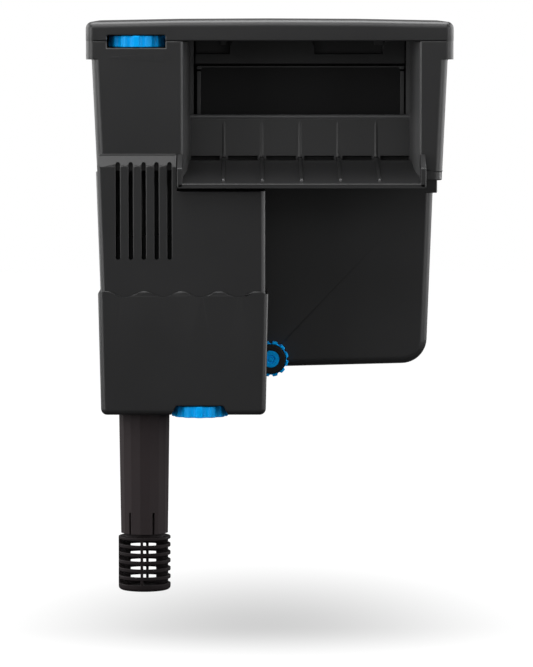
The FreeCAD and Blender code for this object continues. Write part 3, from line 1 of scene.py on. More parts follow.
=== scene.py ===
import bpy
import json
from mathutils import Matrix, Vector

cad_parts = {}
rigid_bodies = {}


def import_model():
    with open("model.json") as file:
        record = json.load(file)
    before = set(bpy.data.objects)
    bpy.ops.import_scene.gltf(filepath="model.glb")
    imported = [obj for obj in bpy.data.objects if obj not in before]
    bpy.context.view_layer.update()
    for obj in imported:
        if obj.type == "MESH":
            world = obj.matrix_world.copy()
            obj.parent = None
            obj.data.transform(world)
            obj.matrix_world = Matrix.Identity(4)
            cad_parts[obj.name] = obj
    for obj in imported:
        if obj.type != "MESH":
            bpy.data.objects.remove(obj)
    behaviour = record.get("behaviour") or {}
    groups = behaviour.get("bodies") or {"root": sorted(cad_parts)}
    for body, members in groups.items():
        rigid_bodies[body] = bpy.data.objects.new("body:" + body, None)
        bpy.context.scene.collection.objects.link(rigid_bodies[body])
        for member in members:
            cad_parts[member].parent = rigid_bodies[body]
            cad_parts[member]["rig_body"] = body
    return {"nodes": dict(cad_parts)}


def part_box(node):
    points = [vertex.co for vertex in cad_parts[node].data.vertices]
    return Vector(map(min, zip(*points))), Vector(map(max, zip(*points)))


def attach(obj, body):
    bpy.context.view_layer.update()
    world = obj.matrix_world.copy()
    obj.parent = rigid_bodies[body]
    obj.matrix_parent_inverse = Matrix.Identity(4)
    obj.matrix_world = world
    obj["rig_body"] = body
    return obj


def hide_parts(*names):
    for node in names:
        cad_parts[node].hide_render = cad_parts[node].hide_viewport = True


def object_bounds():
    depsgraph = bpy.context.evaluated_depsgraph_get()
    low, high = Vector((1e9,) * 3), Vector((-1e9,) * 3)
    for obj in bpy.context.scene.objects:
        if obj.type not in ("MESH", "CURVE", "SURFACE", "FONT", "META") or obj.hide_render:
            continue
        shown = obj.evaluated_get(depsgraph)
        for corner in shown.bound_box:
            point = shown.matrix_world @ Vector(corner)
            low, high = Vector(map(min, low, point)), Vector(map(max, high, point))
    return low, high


bl_info = {
    "name": "Hang-on Aquarium Filter",
    "version": (1, 0, 0),
    "blender": (4, 5, 0),
    "location": "View3D > Sidebar > Filter",
    "description": "Dresses the packed filter: moulded shells, thumb wheels, intake tube, media, and a pale stage",
    "category": "Object",
}

import json
import math

import bmesh
import bpy
import numpy as np
from bpy.props import FloatProperty, FloatVectorProperty, IntProperty, PointerProperty
from mathutils import Vector

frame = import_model()
cad_low, cad_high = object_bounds()

MM = 0.001
TURN = 2 * math.pi


# ---------------------------------------------------------------- sizes and colours
def length(name, description, mm):
    """A size that a user may change: given in millimetres, kept in metres."""
    return FloatProperty(name=name, description=description, default=mm * MM, unit="LENGTH", precision=5)


def angle(name, description, degrees):
    """An angle that a user may change: given in degrees, kept in radians."""
    return FloatProperty(name=name, description=description, default=math.radians(degrees), subtype="ANGLE")


def number(name, description, default, **limits):
    """A plain number that a user may change."""
    return FloatProperty(name=name, description=description, default=default, **limits)


def count(name, description, default, least=1):
    """A whole number that a user may change."""
    return IntProperty(name=name, description=description, default=default, min=least)


def colour(name, description, default):
    """A base colour that a user may change, as linear light."""
    return FloatVectorProperty(
        name=name, description=description, default=default, size=3, min=0.0, max=1.0, subtype="COLOR"
    )


class PlasticSettings(bpy.types.PropertyGroup):
    black: colour("Black", "Colour of the moulded shells", (0.0175, 0.0175, 0.0180))
    # Painted light: a little lighter than the black shells, so that the apron, which the lamps reach less, comes out
    # brighter.
    tray: colour("Tray", "Colour of the spillway tray", (0.0200, 0.0200, 0.0205))
    basket: colour("Basket", "Colour of the media basket", (0.0160, 0.0160, 0.0164))
    # Painted highlight: the weir's bead is black plastic, and this pale colour stands in for the highlight along the
    # weir's rounded edge.
    bead: colour("Bead", "Colour of the weir's bead", (0.09, 0.09, 0.092))
    # Painted light: the basket's strips, the lid's clips and the shoulder's line are black plastic, and this paler
    # colour stands in for the light they catch, a painted highlight on the shoulder's line.
    strips: colour("Strips", "Colour of the basket's strips and the lid's clips", (0.045, 0.045, 0.046))
    # Painted light: the cheeks are the same black plastic as the shells, and this far paler colour stands in for light
    # that the lid keeps off them.
    cheek_painted_light: colour("Cheeks", "Colour of the spillway's side walls", (0.085, 0.085, 0.0865))
    tube: colour("Tube", "Colour of the intake tube and strainer", (0.0310, 0.0253, 0.0264))
    blue: colour("Blue", "Colour of the thumb wheels and the knob", (0.001, 0.40, 1.0))
    rubber: colour("Rubber", "Colour of rings, feet and the gland", (0.012, 0.012, 0.012))
    grain: length("Grain", "Width of the moulding texture", 0.25)
    grain_depth: length("Grain depth", "Height of the moulding texture", 0.006)
    rough: number("Roughness", "Mean roughness of the shells", 0.36, min=0, max=1)


class ShellSettings(bpy.types.PropertyGroup):
    edge: length("Edge", "Rounding of the shells' outer edges", 0.9)
    column_edge: length("Column edge", "Rounding of the slotted column's edges", 0.5)
    fine_edge: length("Fine edge", "Rounding of small pieces' edges", 0.35)
    shortest: length("Shortest edge", "Edges shorter than this stay sharp", 2.5)


class WheelSettings(bpy.types.PropertyGroup):
    teeth: count("Teeth", "Finger grooves round a thumb wheel", 13, 6)
    groove: length("Groove", "Depth of a groove below the rim", 1.6)
    out: length("Groove centre", "How far outside the rim a groove has its centre", 2.1)
    edge: length("Edge", "Rounding of the wheel's rims", 0.6)
    dish: length("Dish", "Hollow of the wheel's face", 0.8)


class KnobSettings(bpy.types.PropertyGroup):
    teeth: count("Teeth", "Finger grooves round the leveller's knob", 12, 5)
    groove: length("Groove", "Depth of a groove below the rim", 1.5)
    out: length("Groove centre", "How far outside the rim a groove has its centre", 0.1)
    edge: length("Edge", "Rounding of the knob's rims", 0.8)
    radius: length("Radius", "Radius of the knob's rim", 13.2)
    well: length("Well", "Radius of the well that holds the rubber ring", 11.15)
    hub: length("Hub", "Radius of the hole for the screw", 2.1)


class TubeSettings(bpy.types.PropertyGroup):
    facets: count("Facets", "Flat sides of the intake tube", 16, 8)
    turn: angle("Turn", "Angle of the first ridge", 14.0)
    bore: length("Bore", "Radius of the tube's bore", 14.9)
    slits: count("Slits", "Slits at the tube's foot", 6)
    slit_turn: angle("Slit turn", "Angle of the first slit", 24.0)
    slit_wide: length("Slit width", "Width of a slit", 1.8)
    slit_tall: length("Slit height", "Height of a slit", 16.0)
    rows: count("Rows", "Rows of slots in the strainer", 6)
    pitch: length("Row pitch", "Height from one row of slots to the next", 5.9)
    slot: length("Slot", "Height of a strainer slot", 3.5)
    lead: length("Lead", "From the strainer's top to the foot of the first row", 5.4)
    wall: length("Wall", "Thickness of the strainer's wall", 2.2)
    strainer: length("Strainer height", "Height of the strainer below the tube", 39.8)


class TraySettings(bpy.types.PropertyGroup):
    centre: length("Middle", "Middle of the spillway across the filter", 23.0)
    weir_half: length("Weir half", "Half the weir's width", 83.0)
    front_half: length("Front half", "Half the apron's width where the cheeks end", 86.9)
    skin: length("Skin", "Thickness of the tray", 2.2)
    weir: length("Weir", "Height of the weir", 38.4)
    bead: length("Bead", "Height of the bead on the weir's edge", 3.6)
    bead_proud: length("Bead proud", "How far the bead stands above the weir", 1.0)
    weir_round: length("Weir rounding", "Rounding of the weir's edge", 3.0)
    floor: length("Floor", "Height of the floor at the foot of the weir", 5.6)
    setback: length("Setback", "From the tray's back to the foot of the weir's front", 9.9)
    sweep: length("Sweep", "Radius of the bend from the floor to the apron", 40.0)
    lip: length("Lip", "Height of the apron's lip", 3.3)
    gap_half: length("Gap half", "Half the gap for the tank's rim", 14.0)
    ear: length("Ear", "Thickness of the ears at the lip", 4.0)
    ear_rise: length("Ear height", "Height of an ear at its back", 13.0)
    ribs: count("Ribs", "Ribs of the apron", 5)
    rib_pitch: length("Rib pitch", "From one rib to the next", 28.45)
    rib_half: length("Rib half", "Half a rib's width on the apron", 1.6)
    rib_thin: length("Rib thin half", "Half a rib's width below the weir", 1.3)
    rib_tall: length("Rib height", "Height of a rib on the apron", 1.7)
    rib_low: length("Low rib height", "Height of a rib at the foot of the weir's front", 0.4)
    slot: length("Slot", "Height of the slots at the foot of the weir", 3.0)
    land: length("Land", "Half the width left between two slots", 3.2)


class DetailSettings(bpy.types.PropertyGroup):
    rail: length("Rail", "Width of the strips at the basket's corners", 2.9)
    rail_foot: length("Rail foot", "Where those strips start", 20.0)
    clip_front: length("Clip front", "Where the lid's clips start behind its band", 26.0)
    marks: count("Marks", "Plates that mark the flow wheel's turn", 5)
    mark_start: length("First mark", "Left end of the first plate", -117.2)
    mark_pitch: length("Mark pitch", "From one plate to the next", 8.35)
    mark_wide: length("Mark width", "Width of a plate", 7.3)
    mark_rise: length("Mark height", "Height of the plates' middle line", 83.0)
    mark_thin: length("Mark thin end", "Half height at the left end", 0.3)
    mark_slope: number("Mark slope", "Growth of the half height to the right", 0.077)
    mark_proud: length("Mark proud", "How far a plate stands out", 0.2)


class SoftSettings(bpy.types.PropertyGroup):
    lumps: length("Lumps", "How far the media shows through its bag", 1.6)
    pores: length("Pores", "Width of the foam's pores", 1.3)
    mesh: length("Mesh", "Pitch of the bag's mesh", 1.1)


class StageSettings(bpy.types.PropertyGroup):
    lens: number("Lens", "Focal length of the camera in millimetres", 225.6)
    distance: length("Distance", "Camera's distance in front of the rim", 3115.4)
    floor_gap: length("Floor gap", "Room between the strainer and the floor", 33.6)
    top_light: number("Top light", "Power of the large lamp above, in watts", 38.0)
    rim_light: number("Rim lights", "Power of each lamp beside the filter, in watts", 24.0)
    left_light: number("Left light", "Power of the lamp in front on the left, in watts", 12.0)
    right_light: number("Right light", "Power of the lamp in front on the right, in watts", 8.0)
    fill_light: number("Fill light", "Power of the lamp high in front, in watts", 14.0)
    low_light: number("Low fill", "Power of the low lamp in front, in watts", 1.8)
    world: number("World", "Strength of the world's light on surfaces", 0.2)
    floor_tone: number("Floor", "Grey of the lit floor", 0.04)
    shade: number("Shade", "Strength of the floor's glow in the middle of its darker oval", 0.59)
    shade_wide: number("Shade width", "Half width of that oval, in metres", 0.25)
    shade_front: number("Shade in front", "How much shorter the oval is in front of the filter", 1.3)
    shade_behind: number("Shade behind", "How much shorter the oval is behind the filter", 0.55)
    camera_aside: length("Camera aside", "Camera's place across the filter", -18.5)
    camera_rise: length("Camera height", "Camera's height above the rim", 128.5)
    camera_tilt: angle("Camera tilt", "How far the camera looks down", 4.632)
    camera_turn: angle("Camera turn", "How far the camera looks aside", -0.302)


class FilterSettings(bpy.types.PropertyGroup):
    plastic: PointerProperty(type=PlasticSettings)
    shell: PointerProperty(type=ShellSettings)
    wheel: PointerProperty(type=WheelSettings)
    knob: PointerProperty(type=KnobSettings)
    tube: PointerProperty(type=TubeSettings)
    tray: PointerProperty(type=TraySettings)
    detail: PointerProperty(type=DetailSettings)
    soft: PointerProperty(type=SoftSettings)
    stage: PointerProperty(type=StageSettings)


def settings():
    """The scene's filter settings."""
    return bpy.context.scene.aquarium_filter


# Front face of the slotted column and of the case beside it.
COLUMN_FRONT = -62.0 * MM


# ---------------------------------------------------------------- materials
def fill(made, *feeds, **values):
    """Sets a node's settings, its inputs by name and its inputs in order. A socket is linked, the rest is set."""
    for key, value in (*values.items(), *enumerate(feeds)):
        if isinstance(key, str):
            if hasattr(made, key):
                setattr(made, key, value)
                continue
            key = key.replace("_", " ")
        if isinstance(value, bpy.types.NodeSocket):
            made.id_data.links.new(value, made.inputs[key])
        else:
            made.inputs[key].default_value = value
    return made


def node_maker(tree):
    """Empties a node tree and gives the function that adds a filled node to it."""
    tree.nodes.clear()

    def node(kind, *feeds, **values):
        return fill(tree.nodes.new(f"ShaderNode{kind}"), *feeds, **values)

    return node


def new_material(name):
    """A material, the function that adds its nodes, its shader and its Object coordinates."""
    material = bpy.data.materials.new(name)
    material.use_nodes = True
    node = node_maker(material.node_tree)
    shader = node("BsdfPrincipled")
    node("OutputMaterial", Surface=shader.outputs["BSDF"])
    return material, node, shader, node("TexCoord").outputs["Object"]


def dress(node, shader, height, strength, depth, share, one, two, **values):
    """Gives a shader its bump, a colour that goes from one to two by a share, and its plain values."""
    bump = node("Bump", Strength=strength, Distance=depth, Height=height)
    mix = node("Mix", data_type="RGBA", Factor=share, A=one, B=two)
    fill(shader, Normal=bump.outputs["Normal"], Base_Color=mix.outputs["Result"], **values)


def toned(base, factor):
    """A colour made lighter or darker, with its alpha."""
    return (*[min(1, c * factor) for c in base], 1)


def moulded(name, base, rough, specular=0.5, grain=None, depth=None, tone=0.12):
    """Moulded plastic: fine noise as bump, slow noise that shifts colour and roughness a little."""
    plastic = settings().plastic
    material, node, shader, where = new_material(name)
    fine = node("TexNoise", Vector=where, Scale=1 / (grain or plastic.grain), Detail=2.0, Roughness=0.6)
    slow = node("TexNoise", Vector=where, Scale=14.0, Detail=3.0, Roughness=0.55).outputs["Fac"]
    spread = node("MapRange", Value=slow, To_Min=rough - 0.035, To_Max=rough + 0.035)
    dress(
        node, shader, fine.outputs["Fac"], 1.0, depth or plastic.grain_depth, slow, toned(base, 1 - tone),
        toned(base, 1 + tone), Roughness=spread.outputs["Result"], Specular_IOR_Level=specular,
    )
    return material


def metal(name, base, rough, lines_along, lines, stretch=1.0):
    """Metal with fine lines across one axis: laminations, windings or turning marks."""
    material, node, shader, where = new_material(name)
    wave = node("TexWave", Vector=where, Scale=lines, Distortion=stretch, Detail=1.0, bands_direction=lines_along)
    height = wave.outputs["Fac"]
    dress(
        node, shader, height, 0.6, 0.05 * MM, height, toned(base, 0.7), toned(base, 1.0), Metallic=1.0, Roughness=rough
    )
    return material


# ---------------------------------------------------------------- meshes
def finish_piece(thing, body, material, replaced=()):
    """Puts the material on, evens the shading, rides the piece on its body and hides the nodes it stands for."""
    thing.data.materials.clear()
    thing.data.materials.append(material)
    flatten_shading(thing)
    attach(thing, body)
    if replaced:
        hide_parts(*replaced)
    return thing


def body_of(node):
    """The body that a CAD node rides on."""
    return frame["nodes"][node]["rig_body"]


def merged_copy(node, name):
    """A copy of a CAD node's mesh as one skin: doubles merged and flat pairs of triangles made quads."""
    mesh = frame["nodes"][node].data.copy()
    mesh.name = name
    work = bmesh.new()
    work.from_mesh(mesh)
    bmesh.ops.remove_doubles(work, verts=work.verts, dist=1e-5)
    bmesh.ops.join_triangles(
        work, faces=work.faces, angle_face_threshold=math.radians(0.5), angle_shape_threshold=math.pi
    )
    work.to_mesh(mesh)
    work.free()
    return linked(name, mesh)


def caps(rows, columns):
    """The two faces that close the first and the last ring of a grid."""
    ring = np.arange(columns)[None]
    return [ring[:, ::-1], (rows - 1) * columns + ring]


def values_of(items, name, kind=float, width=1):
    """One attribute of a mesh's items as an array."""
    values = np.empty(len(items) * width, kind)
    items.foreach_get(name, values)
    return values.reshape(-1, width) if width > 1 else values


def edge_turns(mesh):
    """Each edge's length and the angle between its two faces, as arrays."""
    ends = values_of(mesh.edges, "vertices", np.int32, 2)
    spots = values_of(mesh.vertices, "co", width=3)
    normals = values_of(mesh.polygons, "normal", width=3)
    loops = values_of(mesh.loops, "edge_index", np.int32)
    sizes = values_of(mesh.polygons, "loop_total", np.int32)
    owner = np.repeat(np.arange(len(sizes)), sizes)
    order = np.argsort(loops, kind="stable")
    used, first, uses = np.unique(loops[order], return_index=True, return_counts=True)
    turn = np.zeros(len(ends))
    pair = uses == 2
    one, two = (normals[owner[order[first[pair] + i]]] for i in (0, 1))
    turn[used[pair]] = np.arccos(np.clip((one * two).sum(1), -1, 1))
    return np.linalg.norm(spots[ends[:, 0]] - spots[ends[:, 1]], axis=1), turn


def flatten_shading(thing):
    """Large faces lead the shading, so that flats stay flat beside their roundings."""
    weighted = thing.modifiers.new("Weighted shading", "WEIGHTED_NORMAL")
    weighted.mode = "FACE_AREA"
    weighted.weight = 50
    weighted.keep_sharp = True


def add_bevel(thing, method, width, segments, clamp):
    """A Bevel modifier that rounds the edges that its method picks."""
    bevel = thing.modifiers.new("Rounded edges", "BEVEL")
    bevel.limit_method = method
    bevel.width = width
    bevel.segments = segments
    bevel.use_clamp_overlap = clamp
    return bevel


def grid_faces(rows, columns, around=False):
    """The quads of a grid whose points go row after row; around joins its last column to its first."""
    row = np.arange(rows - 1)[:, None]
    column = np.arange(columns if around else columns - 1)[None, :]
    after = (column + 1) % columns
    corners = (row * columns + column, row * columns + after, (row + 1) * columns + after, (row + 1) * columns + column)
    return np.stack(corners, -1).reshape(-1, 4)


def linked(name, mesh):
    """An object for a mesh, in the scene."""
    thing = bpy.data.objects.new(name, mesh)
    bpy.context.scene.collection.objects.link(thing)
    return thing


def add_piece(name, shape, body, slot, material, replaced=(), smooth=32.0, edge=0.0, sharp=50.0):
    """A finished piece from an array of points and a list of face arrays, its faces turned outwards. Edges that turn
    by more than sharp are rounded where an edge width is given."""
    points, faces = shape
    mesh = bpy.data.meshes.new(name)
    mesh.from_pydata(np.asarray(points).reshape(-1, 3).tolist(), [], [f for part in faces for f in part.tolist()])
    work = bmesh.new()
    work.from_mesh(mesh)
    bmesh.ops.remove_doubles(work, verts=work.verts, dist=1e-6)
    bmesh.ops.recalc_face_normals(work, faces=work.faces)
    work.to_mesh(mesh)
    work.free()
    mesh.shade_smooth()
    mesh.set_sharp_from_angle(angle=math.radians(smooth))
    thing = linked(name, mesh)
    if edge:
        add_bevel(thing, "ANGLE", edge, 2, True).angle_limit = math.radians(sharp)
    return finish_piece(thing, body, material, replaced)


def joined(parts):
    """Several (points, faces) parts as one: the points stacked, the faces' numbers moved on."""
    points, faces, count = [], [], 0
    for spots, quads in parts:
        spots = np.asarray(spots).reshape(-1, 3)
        points.append(spots)
        faces += [part + count for part in quads]
        count += len(spots)
    return np.concatenate(points), faces


def rounded_line(corners, radii, closed=True, steps=6):
    """A line through corners, each replaced by an arc of its radius between the two runs that it touches."""
    corners = np.asarray(corners, float)
    radii = np.broadcast_to(np.asarray(radii, float), len(corners))
    before, after = unit(np.roll(corners, 1, 0) - corners), unit(np.roll(corners, -1, 0) - corners)
    half = np.arccos(np.clip((before * after).sum(1), -1, 1)) / 2
    spots = []
    for i, corner in enumerate(corners):
        if radii[i] <= 0 or (not closed and i in (0, len(corners) - 1)) or half[i] > 1.56:
            spots.append(corner[None])
            continue
        bisector = before[i] + after[i]
        middle = corner + bisector / np.linalg.norm(bisector) * radii[i] / math.sin(half[i])
        start = corner + before[i] * radii[i] / math.tan(half[i]) - middle
        side = np.array([-start[1], start[0]])
        way = -1.0 if side @ before[i] > 0 else 1.0
        turn = np.linspace(0, math.pi - 2 * half[i], steps + 1)[:, None]
        spots.append(middle + start * np.cos(turn) + way * side * np.sin(turn))
    return np.concatenate(spots)


def unit(vectors):
    """Rows of vectors made one long."""
    return vectors / np.linalg.norm(vectors, axis=1, keepdims=True)


def outward(line):
    """Each point's mitred normal on a closed line, to the right of its way round."""
    before, after = unit(line - np.roll(line, 1, 0)), unit(np.roll(line, -1, 0) - line)
    normal = unit(np.stack([before[:, 1] + after[:, 1], -before[:, 0] - after[:, 0]], 1))
    first = np.stack([before[:, 1], -before[:, 0]], 1)
    return normal / np.maximum((normal * first).sum(1), 0.3)[:, None]


def rim_arc(edge, rows):
    """A quarter arc that rounds a rim: how far each row lies inside the side, and how far above the foot."""
    arc = np.linspace(0, math.pi / 2, rows)
    return edge * (1 - np.sin(arc)), edge * (1 - np.cos(arc))


def prism(outline, low, high, edge, axis):
    """A closed outline carried along an axis from low to high, with both rims rounded by quarter arcs.
    The outline's two numbers are the other two axes, in X, Y, Z order."""
    outline = np.asarray(outline, float)
    area = (outline[:, 0] * np.roll(outline[:, 1], -1) - outline[:, 1] * np.roll(outline[:, 0], -1)).sum()
    if area < 0:
        outline = outline[::-1]
    out = outward(outline)
    inset, rise = rim_arc(edge, 4)
    insets = np.concatenate([inset, inset[::-1]])
    levels = np.concatenate([low + rise, high - rise[::-1]])
    flat = outline[None] - out[None] * insets[:, None, None]
    along = np.broadcast_to(levels[:, None, None], (*flat.shape[:2], 1))
    order = {"X": (2, 0, 1), "Y": (0, 2, 1), "Z": (0, 1, 2)}[axis]
    rings = np.concatenate([flat, along], 2)[:, :, order]
    rows, columns = rings.shape[:2]
    return rings.reshape(-1, 3), [grid_faces(rows, columns, around=True), *caps(rows, columns)]


def rings_about(radius, along, angles, middle, axis="Z"):
    """Rings of points about an axis: the middle plus the radius times the cosine and the sine of the angle, with a
    radius and a place along the axis for each row, or for each row and angle."""
    shape = (len(radius), len(angles))
    radius, along = np.broadcast_to(radius, shape), np.broadcast_to(along, shape)
    across, up = middle[0] + radius * np.cos(angles), middle[1] + radius * np.sin(angles)
    return np.stack([across, up, along] if axis == "Z" else [across, along, up], -1)


def turned(radius, along, angles, middle, axis="Z"):
    """The surface of such rings, open at both ends."""
    rings = rings_about(radius, along, angles, middle, axis)
    return rings.reshape(-1, 3), [grid_faces(*rings.shape[:2], around=True)]


def pierced_wall(outer, inner, solid, around=False):
    """A wall between two grids of points. Cells that aren't solid are left open, and every border gets its side."""
    rows, columns = outer.shape[:2]
    count = rows * columns
    cells = grid_faces(rows, columns, around).reshape(rows - 1, -1, 4)
    front = cells[solid]
    parts = [front, (cells + count)[solid][:, ::-1]]
    padded = np.pad(solid, 1)
    if around:
        padded[1:-1, 0], padded[1:-1, -1] = solid[:, -1], solid[:, 0]
    sides = ((padded[:-2, 1:-1], 0, 1), (padded[1:-1, 2:], 1, 2), (padded[2:, 1:-1], 2, 3), (padded[1:-1, :-2], 3, 0))
    for neighbour, one, two in sides:
        border = cells[solid & ~neighbour]
        a, b = border[:, one], border[:, two]
        parts.append(np.stack([b, a, a + count, b + count], 1))
    return np.concatenate([outer.reshape(-1, 3), inner.reshape(-1, 3)]), parts


def grooved(angles, radius, teeth, groove, out):
    """A thumb wheel's outline: its radius, less round grooves. A groove's centre lies a little outside the rim, and
    where a ray meets its circle, the ray ends there."""
    pitch = TURN / teeth
    off = (angles - math.pi / 2 + pitch / 2) % pitch - pitch / 2
    middle, size = radius + out, groove + out
    side = middle * np.sin(off)
    reach = middle * np.cos(off) - np.sqrt(np.maximum(size**2 - side**2, 0))
    return np.where(np.abs(side) < size, np.minimum(reach, radius), radius)


def rounded_copy(node, width):
    """A merged copy of a CAD node whose long, sharp edges are rounded by a Bevel modifier."""
    thing = merged_copy(node, f"{node}_shell")
    mesh = thing.data
    long, turn = edge_turns(mesh)
    chosen = (turn > math.radians(30)) & (long > settings().shell.shortest)
    weights = mesh.attributes.new("bevel_weight_edge", "FLOAT", "EDGE")
    weights.data.foreach_set("value", chosen.astype(np.float32))
    mesh.shade_smooth()
    mesh.set_sharp_from_angle(angle=math.radians(32))
    add_bevel(thing, "WEIGHT", width, 3, False).miter_outer = "MITER_ARC"
    return thing


# ---------------------------------------------------------------- operators
class FILTER_OT_shells(bpy.types.Operator):
    """Round the moulded shells' edges and give them their plastic"""

    bl_idname = "aquarium_filter.shells"
    bl_label = "Moulded Shells"

    def execute(self, context):
        plastic, shell = settings().plastic, settings().shell
        black = moulded("Black moulding", plastic.black, plastic.rough)
        basket = moulded("Basket moulding", plastic.basket, plastic.rough, specular=0.1)
        for node in ("filter_case", "lid", "intake_housing", "pump_cover"):
            edge = shell.column_edge if node == "intake_housing" else shell.edge
            finish_piece(rounded_copy(node, edge), body_of(node), black, (node,))
        thing = rounded_copy("media_basket", shell.fine_edge)
        finish_piece(thing, "basket", basket, ("media_basket",))
        return {"FINISHED"}


class FILTER_OT_tray(bpy.types.Operator):
    """Make the spillway tray: its weir, slots and apron, the ribs, ears and cheeks, the weir's bead and a dark strip of
    painted shade behind the slots
    """

    bl_idname = "aquarium_filter.tray"
    bl_label = "Spillway Tray"

    def execute(self, context):
        tray, plastic = settings().tray, settings().plastic
        # The tray's colour is lifted above the shells' black as painted light on the apron.
        mould = moulded("Tray moulding", plastic.tray, plastic.rough)
        # The cheeks' pale colour is painted light on walls that lie in the lid's shade.
        cheek_painted_light = moulded("Cheek painted light", plastic.cheek_painted_light, plastic.rough)
        # The bead's pale colour is a painted highlight.
        bead = moulded("Bead painted highlight", plastic.bead, 0.34)
        rubber = moulded("Black rubber", plastic.rubber, 0.62, specular=0.2, depth=0.012 * MM)
        low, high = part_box("spillway_tray")
        line, wall = tray_line(tray, low, high)
        place = ("filter_body", "black_plastic")
        add_piece("spillway_tray_skin", tray_skin(tray, line, wall), *place, mould, ("spillway_tray",), edge=0.4 * MM)
        add_piece("spillway_ribs", tray_ribs(tray, line), *place, mould, smooth=60)
        add_piece("spillway_ears", tray_ears(tray, low, high), *place, mould)
        add_piece("spillway_cheeks", tray_cheeks(tray, low), *place, cheek_painted_light, smooth=50)
        add_piece("weir_bead", weir_bead(tray, high), *place, bead, smooth=60)
        # A dark strip of painted shade behind the slots, so that they read black; it is no seal.
        add_piece("spillway_slot_shade", slot_shade_strip(tray, high), "filter_body", "black_rubber", rubber)
        return {"FINISHED"}


def tray_line(tray, low, high):
    """The tray's outer line in Y and Z, from the hook behind the weir over it, down its front and out along the apron
    to the lip, and the row where the front wall stands on the floor."""
    foot = high.y - tray.setback
    corners = [
        (high.y, tray.weir - 8.4 * MM),
        (high.y, tray.weir),
        (high.y - 7.3 * MM, tray.weir),
        (foot, tray.floor + tray.slot),
        (foot, tray.floor),
        (-tray.gap_half, tray.floor),
        (low.y, low.z + tray.lip),
        (low.y, low.z),
    ]
    radii = (0, tray.weir_round, tray.weir_round, 0, 0, tray.sweep, 0.8 * MM, 0)
    line = rounded_line(corners, radii, closed=False, steps=8)
    wall = int(np.argmin(np.abs(line - corners[3]).sum(1)))
    return line, wall


def tray_skin(tray, line, wall):
    """The tray's line carried across the filter. Its half width grows from the weir to where the cheeks end, and the
    skin's back is the line moved along its normal. The cells above the floor between the ribs are left open."""
    way = unit(np.gradient(line, axis=0))
    back = line + np.stack([-way[:, 1], way[:, 0]], 1) * tray.skin
    share = np.clip((tray.gap_half - line[:, 0]) / (tray.gap_half - COLUMN_FRONT), 0, 1)
    half = tray.weir_half + (tray.front_half - tray.weir_half) * share
    half = np.where(line[:, 0] < COLUMN_FRONT - 0.2 * MM, tray.front_half + 2.6 * MM, half)
    ribs = rib_places(tray)
    end = tray.weir_half - 1.6 * MM
    inner = np.sort(np.concatenate([ribs - tray.land, ribs + tray.land, [-end, end]]))
    across = np.concatenate([-half[:, None], np.broadcast_to(inner, (len(line), len(inner))), half[:, None]], 1)

    def sheet(flat):
        deep = np.broadcast_to(flat[:, None, 0], across.shape)
        tall = np.broadcast_to(flat[:, None, 1], across.shape)
        return np.stack([tray.centre + across, deep, tall], -1)

    solid = np.ones((len(line) - 1, across.shape[1] - 1), bool)
    solid[wall, 1:-1:2] = False
    return pierced_wall(sheet(line), sheet(back), solid)


def rib_places(tray):
    """Where the ribs stand, from the tray's middle."""
    return (np.arange(tray.ribs) - (tray.ribs - 1) / 2) * tray.rib_pitch


def weir_bead(tray, high):
    """The round bar along the weir's edge, as a prism of a rounded rectangle. Its pale colour is a painted highlight.
    """
    front, top = high.y - 8.0 * MM, tray.weir + tray.bead_proud
    outline = [(front, top - tray.bead), (front + 6 * MM, top - tray.bead), (front + 6 * MM, top), (front, top)]
    line = rounded_line(outline, tray.bead * 0.46)
    half = tray.weir_half - 0.5 * MM
    return prism(line, tray.centre - half, tray.centre + half, 0.3 * MM, "X")


def tray_ribs(tray, line):
    """Ribs along the tray's line: low, soft ridges on the weir's front that grow to full half-round ribs on the floor
    and end in a round nose before the lip. A point is the line, plus the normal times the height times a profile,
    plus X times the width times u. The profile is a raised cosine on the wall, and one less the sixth power of u on
    the floor."""
    steps = np.concatenate([[0], np.cumsum(np.linalg.norm(np.diff(line, axis=0), axis=1))])
    start = np.interp(tray.weir - 5 * MM, line[::-1, 1], steps[::-1])
    foot = np.interp(tray.floor + 0.5 * MM, line[::-1, 1], steps[::-1])
    end = steps[-1] - 10.5 * MM
    rows, columns = 90, 17
    along = np.linspace(start, end, rows)
    path = np.stack([np.interp(along, steps, line[:, i]) for i in (0, 1)], 1)
    soft = np.ones(7) / 7
    path[3:-3] = np.stack([np.convolve(path[:, i], soft, "valid") for i in (0, 1)], 1)
    way = unit(np.gradient(path, axis=0))
    normal = np.stack([way[:, 1], -way[:, 0]], 1)
    wall = np.clip((along - start) / (foot - start), 0, 1)
    floor = np.clip((along - foot) / (6 * MM), 0, 1)
    nose = np.sqrt(np.clip(1 - (1 - (end - along) / tray.rib_half) ** 2, 0, 1))
    nose = np.where(end - along < tray.rib_half, nose, 1)
    half = (tray.rib_thin + (tray.rib_half - tray.rib_thin) * wall) * nose
    tall = (tray.rib_low * wall**0.5 + (tray.rib_tall - tray.rib_low) * floor) * nose
    u = np.linspace(-1, 1, columns - 2)
    profile = (1 - floor[:, None]) * (1 + np.cos(math.pi * u)) / 2 + floor[:, None] * (1 - u**6)
    lift = np.concatenate([tall[:, None] * profile, np.full((rows, 2), -0.3 * MM)], 1)
    aside = half[:, None] * np.concatenate([u, [1, -1]])
    flat = path[:, None] + normal[:, None] * lift[..., None]
    faces = [grid_faces(rows, columns, around=True), *caps(rows, columns)]
    middles = tray.centre + rib_places(tray)
    return joined([(np.stack([middle + aside, flat[..., 0], flat[..., 1]], -1), faces) for middle in middles])


# The cheeks' curve in plan, in millimetres: places from front to back, and the half width at each.
CHEEK_DEPTHS = (-62, -52, -41, -20, 9, 15, 22)
CHEEK_HALVES = (86.7, 84.9, 83.5, 82.7, 82.2, 81.2, 79.4)
CHEEK_TOP = 94.5 * MM


